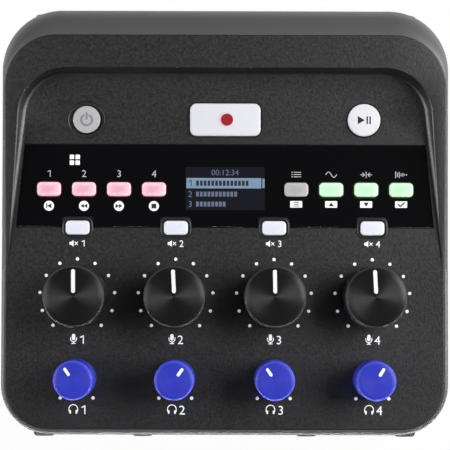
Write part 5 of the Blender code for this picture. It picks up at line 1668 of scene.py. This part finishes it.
def make_lid():
    length, depth = BAY_LENGTH - 2 * GAP, BAY_DEPTH - 2 * GAP
    place = Matrix.Translation((0, BAY_FRONT_Y, FOOT_HEIGHT))
    at = {"centre": (0, GAP + depth / 2)}
    rings = [
        rounded(length - 2 * LID_EDGE, depth - 2 * LID_EDGE, LID_FACE_CORNER, 0, **at),
        rounded(length, depth, LID_CORNER, LID_EDGE, **at),
        rounded(length, depth, LID_CORNER, LID_THICK, **at),
    ]
    long = TAB_REACH + OVER
    y = -TAB_REACH + long / 2
    tabs = blocks(TAB_WIDTH, long, (TAB_UP, TAB_UP + TAB_THICK), ((-TAB_OUT, y), (TAB_OUT, y)))
    tip = depth - ARROW_FROM_END
    points = ((-ARROW_HALF, tip + ARROW_BACK), (ARROW_HALF, tip + ARROW_BACK), (0, tip - ARROW_POINT))
    arrow = ringed([lifted(points, z) for z in (-OVER, ARROW_DEEP)])
    centres = [(0, depth - GRIP_FROM_END + GRIP_LINE_PITCH * k) for k in range(GRIP_LINES)]
    lines = blocks(LATCH_WIDTH, GRIP_LINE_WIDTH, (-OVER, GRIP_LINE_DEEP), centres)
    cuts = [(thumb_dish((0, depth - LATCH_DEPTH * 2)), place), (arrow, place), (lines, place)]
    piece("battery_lid", ringed(rings), MATERIALS["case"], "battery_cover",
          ["battery_cover"], place, joins=[(tabs, place)], cuts=cuts)


def make_cells():
    half, full = CELL_LENGTH / 2, CELL_DIAMETER
    shoulder = half - CELL_NUB
    upper = shoulder - CELL_EDGE
    profile = (
        (full - 2 * CELL_EDGE, -half), (full - 0.0003, -half + CELL_EDGE * 0.6), (full, -half + CELL_EDGE),
        (full, upper - CELL_BAND_LENGTH), (full, upper), (full - 0.0005, shoulder - CELL_EDGE * 0.3),
        (full - 2 * CELL_EDGE, shoulder), (CELL_NUB_DIAMETER, shoulder), (CELL_NUB_DIAMETER, half - 0.0002),
        (CELL_NUB_DIAMETER - 0.0004, half),
    )
    bands = [2, 2, 0, 1, 1, 1, 2, 2, 2]
    looks = [MATERIALS["cell"], MATERIALS["cell_band"], MATERIALS["steel"]]
    for i, way in enumerate((1, -1)):
        y = BAY_Y + (i - 0.5) * (CELL_DIAMETER + CELL_APART)
        place = Matrix.Translation((0, y, CELL_Z)) @ Matrix.Rotation(way * QUARTER_TURN, 4, "Y")
        shape = ringed(turned(profile, CELL_STEPS), looks=bands)
        piece(f"cell_{i + 1}", shape, looks, "case", [f"battery_{i + 1}"], place)


def dress_nodes():
    """Gives the nodes that stay as they are their finishes."""
    finishes = {"panel_board": "board", "io_board": "board", "display_module": "glass",
                "battery_contact_left": "steel", "battery_contact_right": "steel"}
    for i in range(CHANNELS):
        finishes[f"mic_pot_{i + 1}"] = "pot"
        finishes[f"phones_pot_{i + 1}"] = "pot"
    for name, look in finishes.items():
        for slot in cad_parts[name].material_slots:
            slot.material = MATERIALS[look]


# Stage

FLOOR_GLOW = 0.965
FLOOR_HALF = 5.0
SKY_BELOW = (0.34, 0.34, 0.34, 1)
SKY_ABOVE = (0.092, 0.091, 0.089, 1)
SKY_LEVELS = ((0.35, 0.40), (0.60, 0.60), (0.78, 0.50), (0.88, 0.38), (0.95, 0.22))
SKY_BLUE = 1.01
REAR_LEVELS = (0.08, 0.17, -0.22, 0.22)
RIGHT_LEVELS = (0.50, 4.2, -0.25, 0.25)
FLANK_LEVELS = (1.0, 2.2, 0.30, 0.55)


def make_floor():
    """A white floor: the camera sees it glow, and it is clear from below."""
    made, tree, place = base("floor_white")
    cloud = noise(tree, place, 0.3, 2.0)
    shade(tree, {
        "Base Color": blend(tree, cloud, (0.86, 0.86, 0.86), (0.90, 0.90, 0.90)),
        "Roughness": 0.8,
        "Specular IOR Level": 0.2,
    })
    lit = tree.nodes["Principled BSDF"].outputs[0]
    glow = node(tree, "Emission", {"Color": (1, 1, 1)})[0]
    share = maths(tree, "MULTIPLY", node(tree, "LightPath", {})["Is Camera Ray"], FLOOR_GLOW)
    upper = node(tree, "MixShader", {0: share, 1: lit, 2: glow})[0]
    clear = node(tree, "BsdfTransparent", {})[0]
    below = node(tree, "NewGeometry", {})["Backfacing"]
    both = node(tree, "MixShader", {0: below, 1: upper, 2: clear})[0]
    put(tree, tree.nodes["Material Output"].inputs["Surface"], both)
    shape = bmesh.new()
    bmesh.ops.create_grid(shape, x_segments=4, y_segments=4, size=FLOOR_HALF)
    mesh = bpy.data.meshes.new("floor")
    shape.to_mesh(mesh)
    shape.free()
    mesh.materials.append(made)
    floor = placed("floor", mesh)


def make_world():
    """A studio whose level changes with height, and rises towards the back, the right and both sides."""
    world = bpy.data.worlds.new("studio")
    bpy.context.scene.world = world
    world.use_nodes = True
    tree = world.node_tree
    parts = node(tree, "SeparateXYZ", {0: node(tree, "TexCoord", {})["Generated"]})
    ramp = tree.nodes.new("ShaderNodeValToRGB")
    stops = ramp.color_ramp.elements
    stops[0].position, stops[0].color = 0.0, SKY_BELOW
    stops[1].position, stops[1].color = 1.0, SKY_ABOVE
    for at, level in SKY_LEVELS:
        stops.new(at).color = (level, level, level * SKY_BLUE, 1)
    put(tree, ramp.inputs["Fac"], parts["Z"])
    factors = (
        spread(tree, parts["Y"], *REAR_LEVELS),
        spread(tree, parts["X"], *RIGHT_LEVELS),
        spread(tree, maths(tree, "ABSOLUTE", parts["X"]), *FLANK_LEVELS),
    )
    strength = ramp.outputs["Color"]
    for factor in factors:
        strength = maths(tree, "MULTIPLY", strength, factor)
    background = tree.nodes["Background"]
    put(tree, background.inputs["Color"], (1, 1, 1))
    put(tree, background.inputs["Strength"], strength)


def add_lamp(name, place, size, power, aim=(0.0, 0.0, 0.0), spread_deg=180):
    data = bpy.data.lights.new(name, "AREA")
    data.shape = "RECTANGLE"
    data.size, data.size_y = size
    data.energy = power
    data.spread = math.radians(spread_deg)
    lamp = placed(name, data)
    lamp.location = place
    lamp.rotation_mode = "QUATERNION"
    lamp.rotation_quaternion = (Vector(place) - Vector(aim)).to_track_quat("Z", "Y")


def make_light():
    add_lamp("lamp_right", (0.50, 0.08, 0.36), (0.36, 0.62), 4.6)
    add_lamp("lamp_left", (-0.56, -0.04, 0.30), (0.36, 0.58), 3.1)
    add_lamp("lamp_table", (0.0, -0.34, 0.16), (0.85, 0.34), 22.0, aim=(0.0, -0.35, 0.0), spread_deg=70)


make_cover()
make_window()
make_frames()
make_keys()
print_deck()
print_window_white()
print_window_grey()
print_window_dark()
make_display()
make_key_marks()
make_knobs()
make_case()
for jack in jacks():
    make_jack(*jack)
make_usb()
make_card()
make_feet()
make_screws()
for number in range(CHANNELS):
    make_xlr(number)
make_lid()
make_cells()
dress_nodes()
make_floor()
make_world()
make_light()

bpy.context.scene.view_settings.view_transform = "Standard"
bpy.context.view_layer.update()
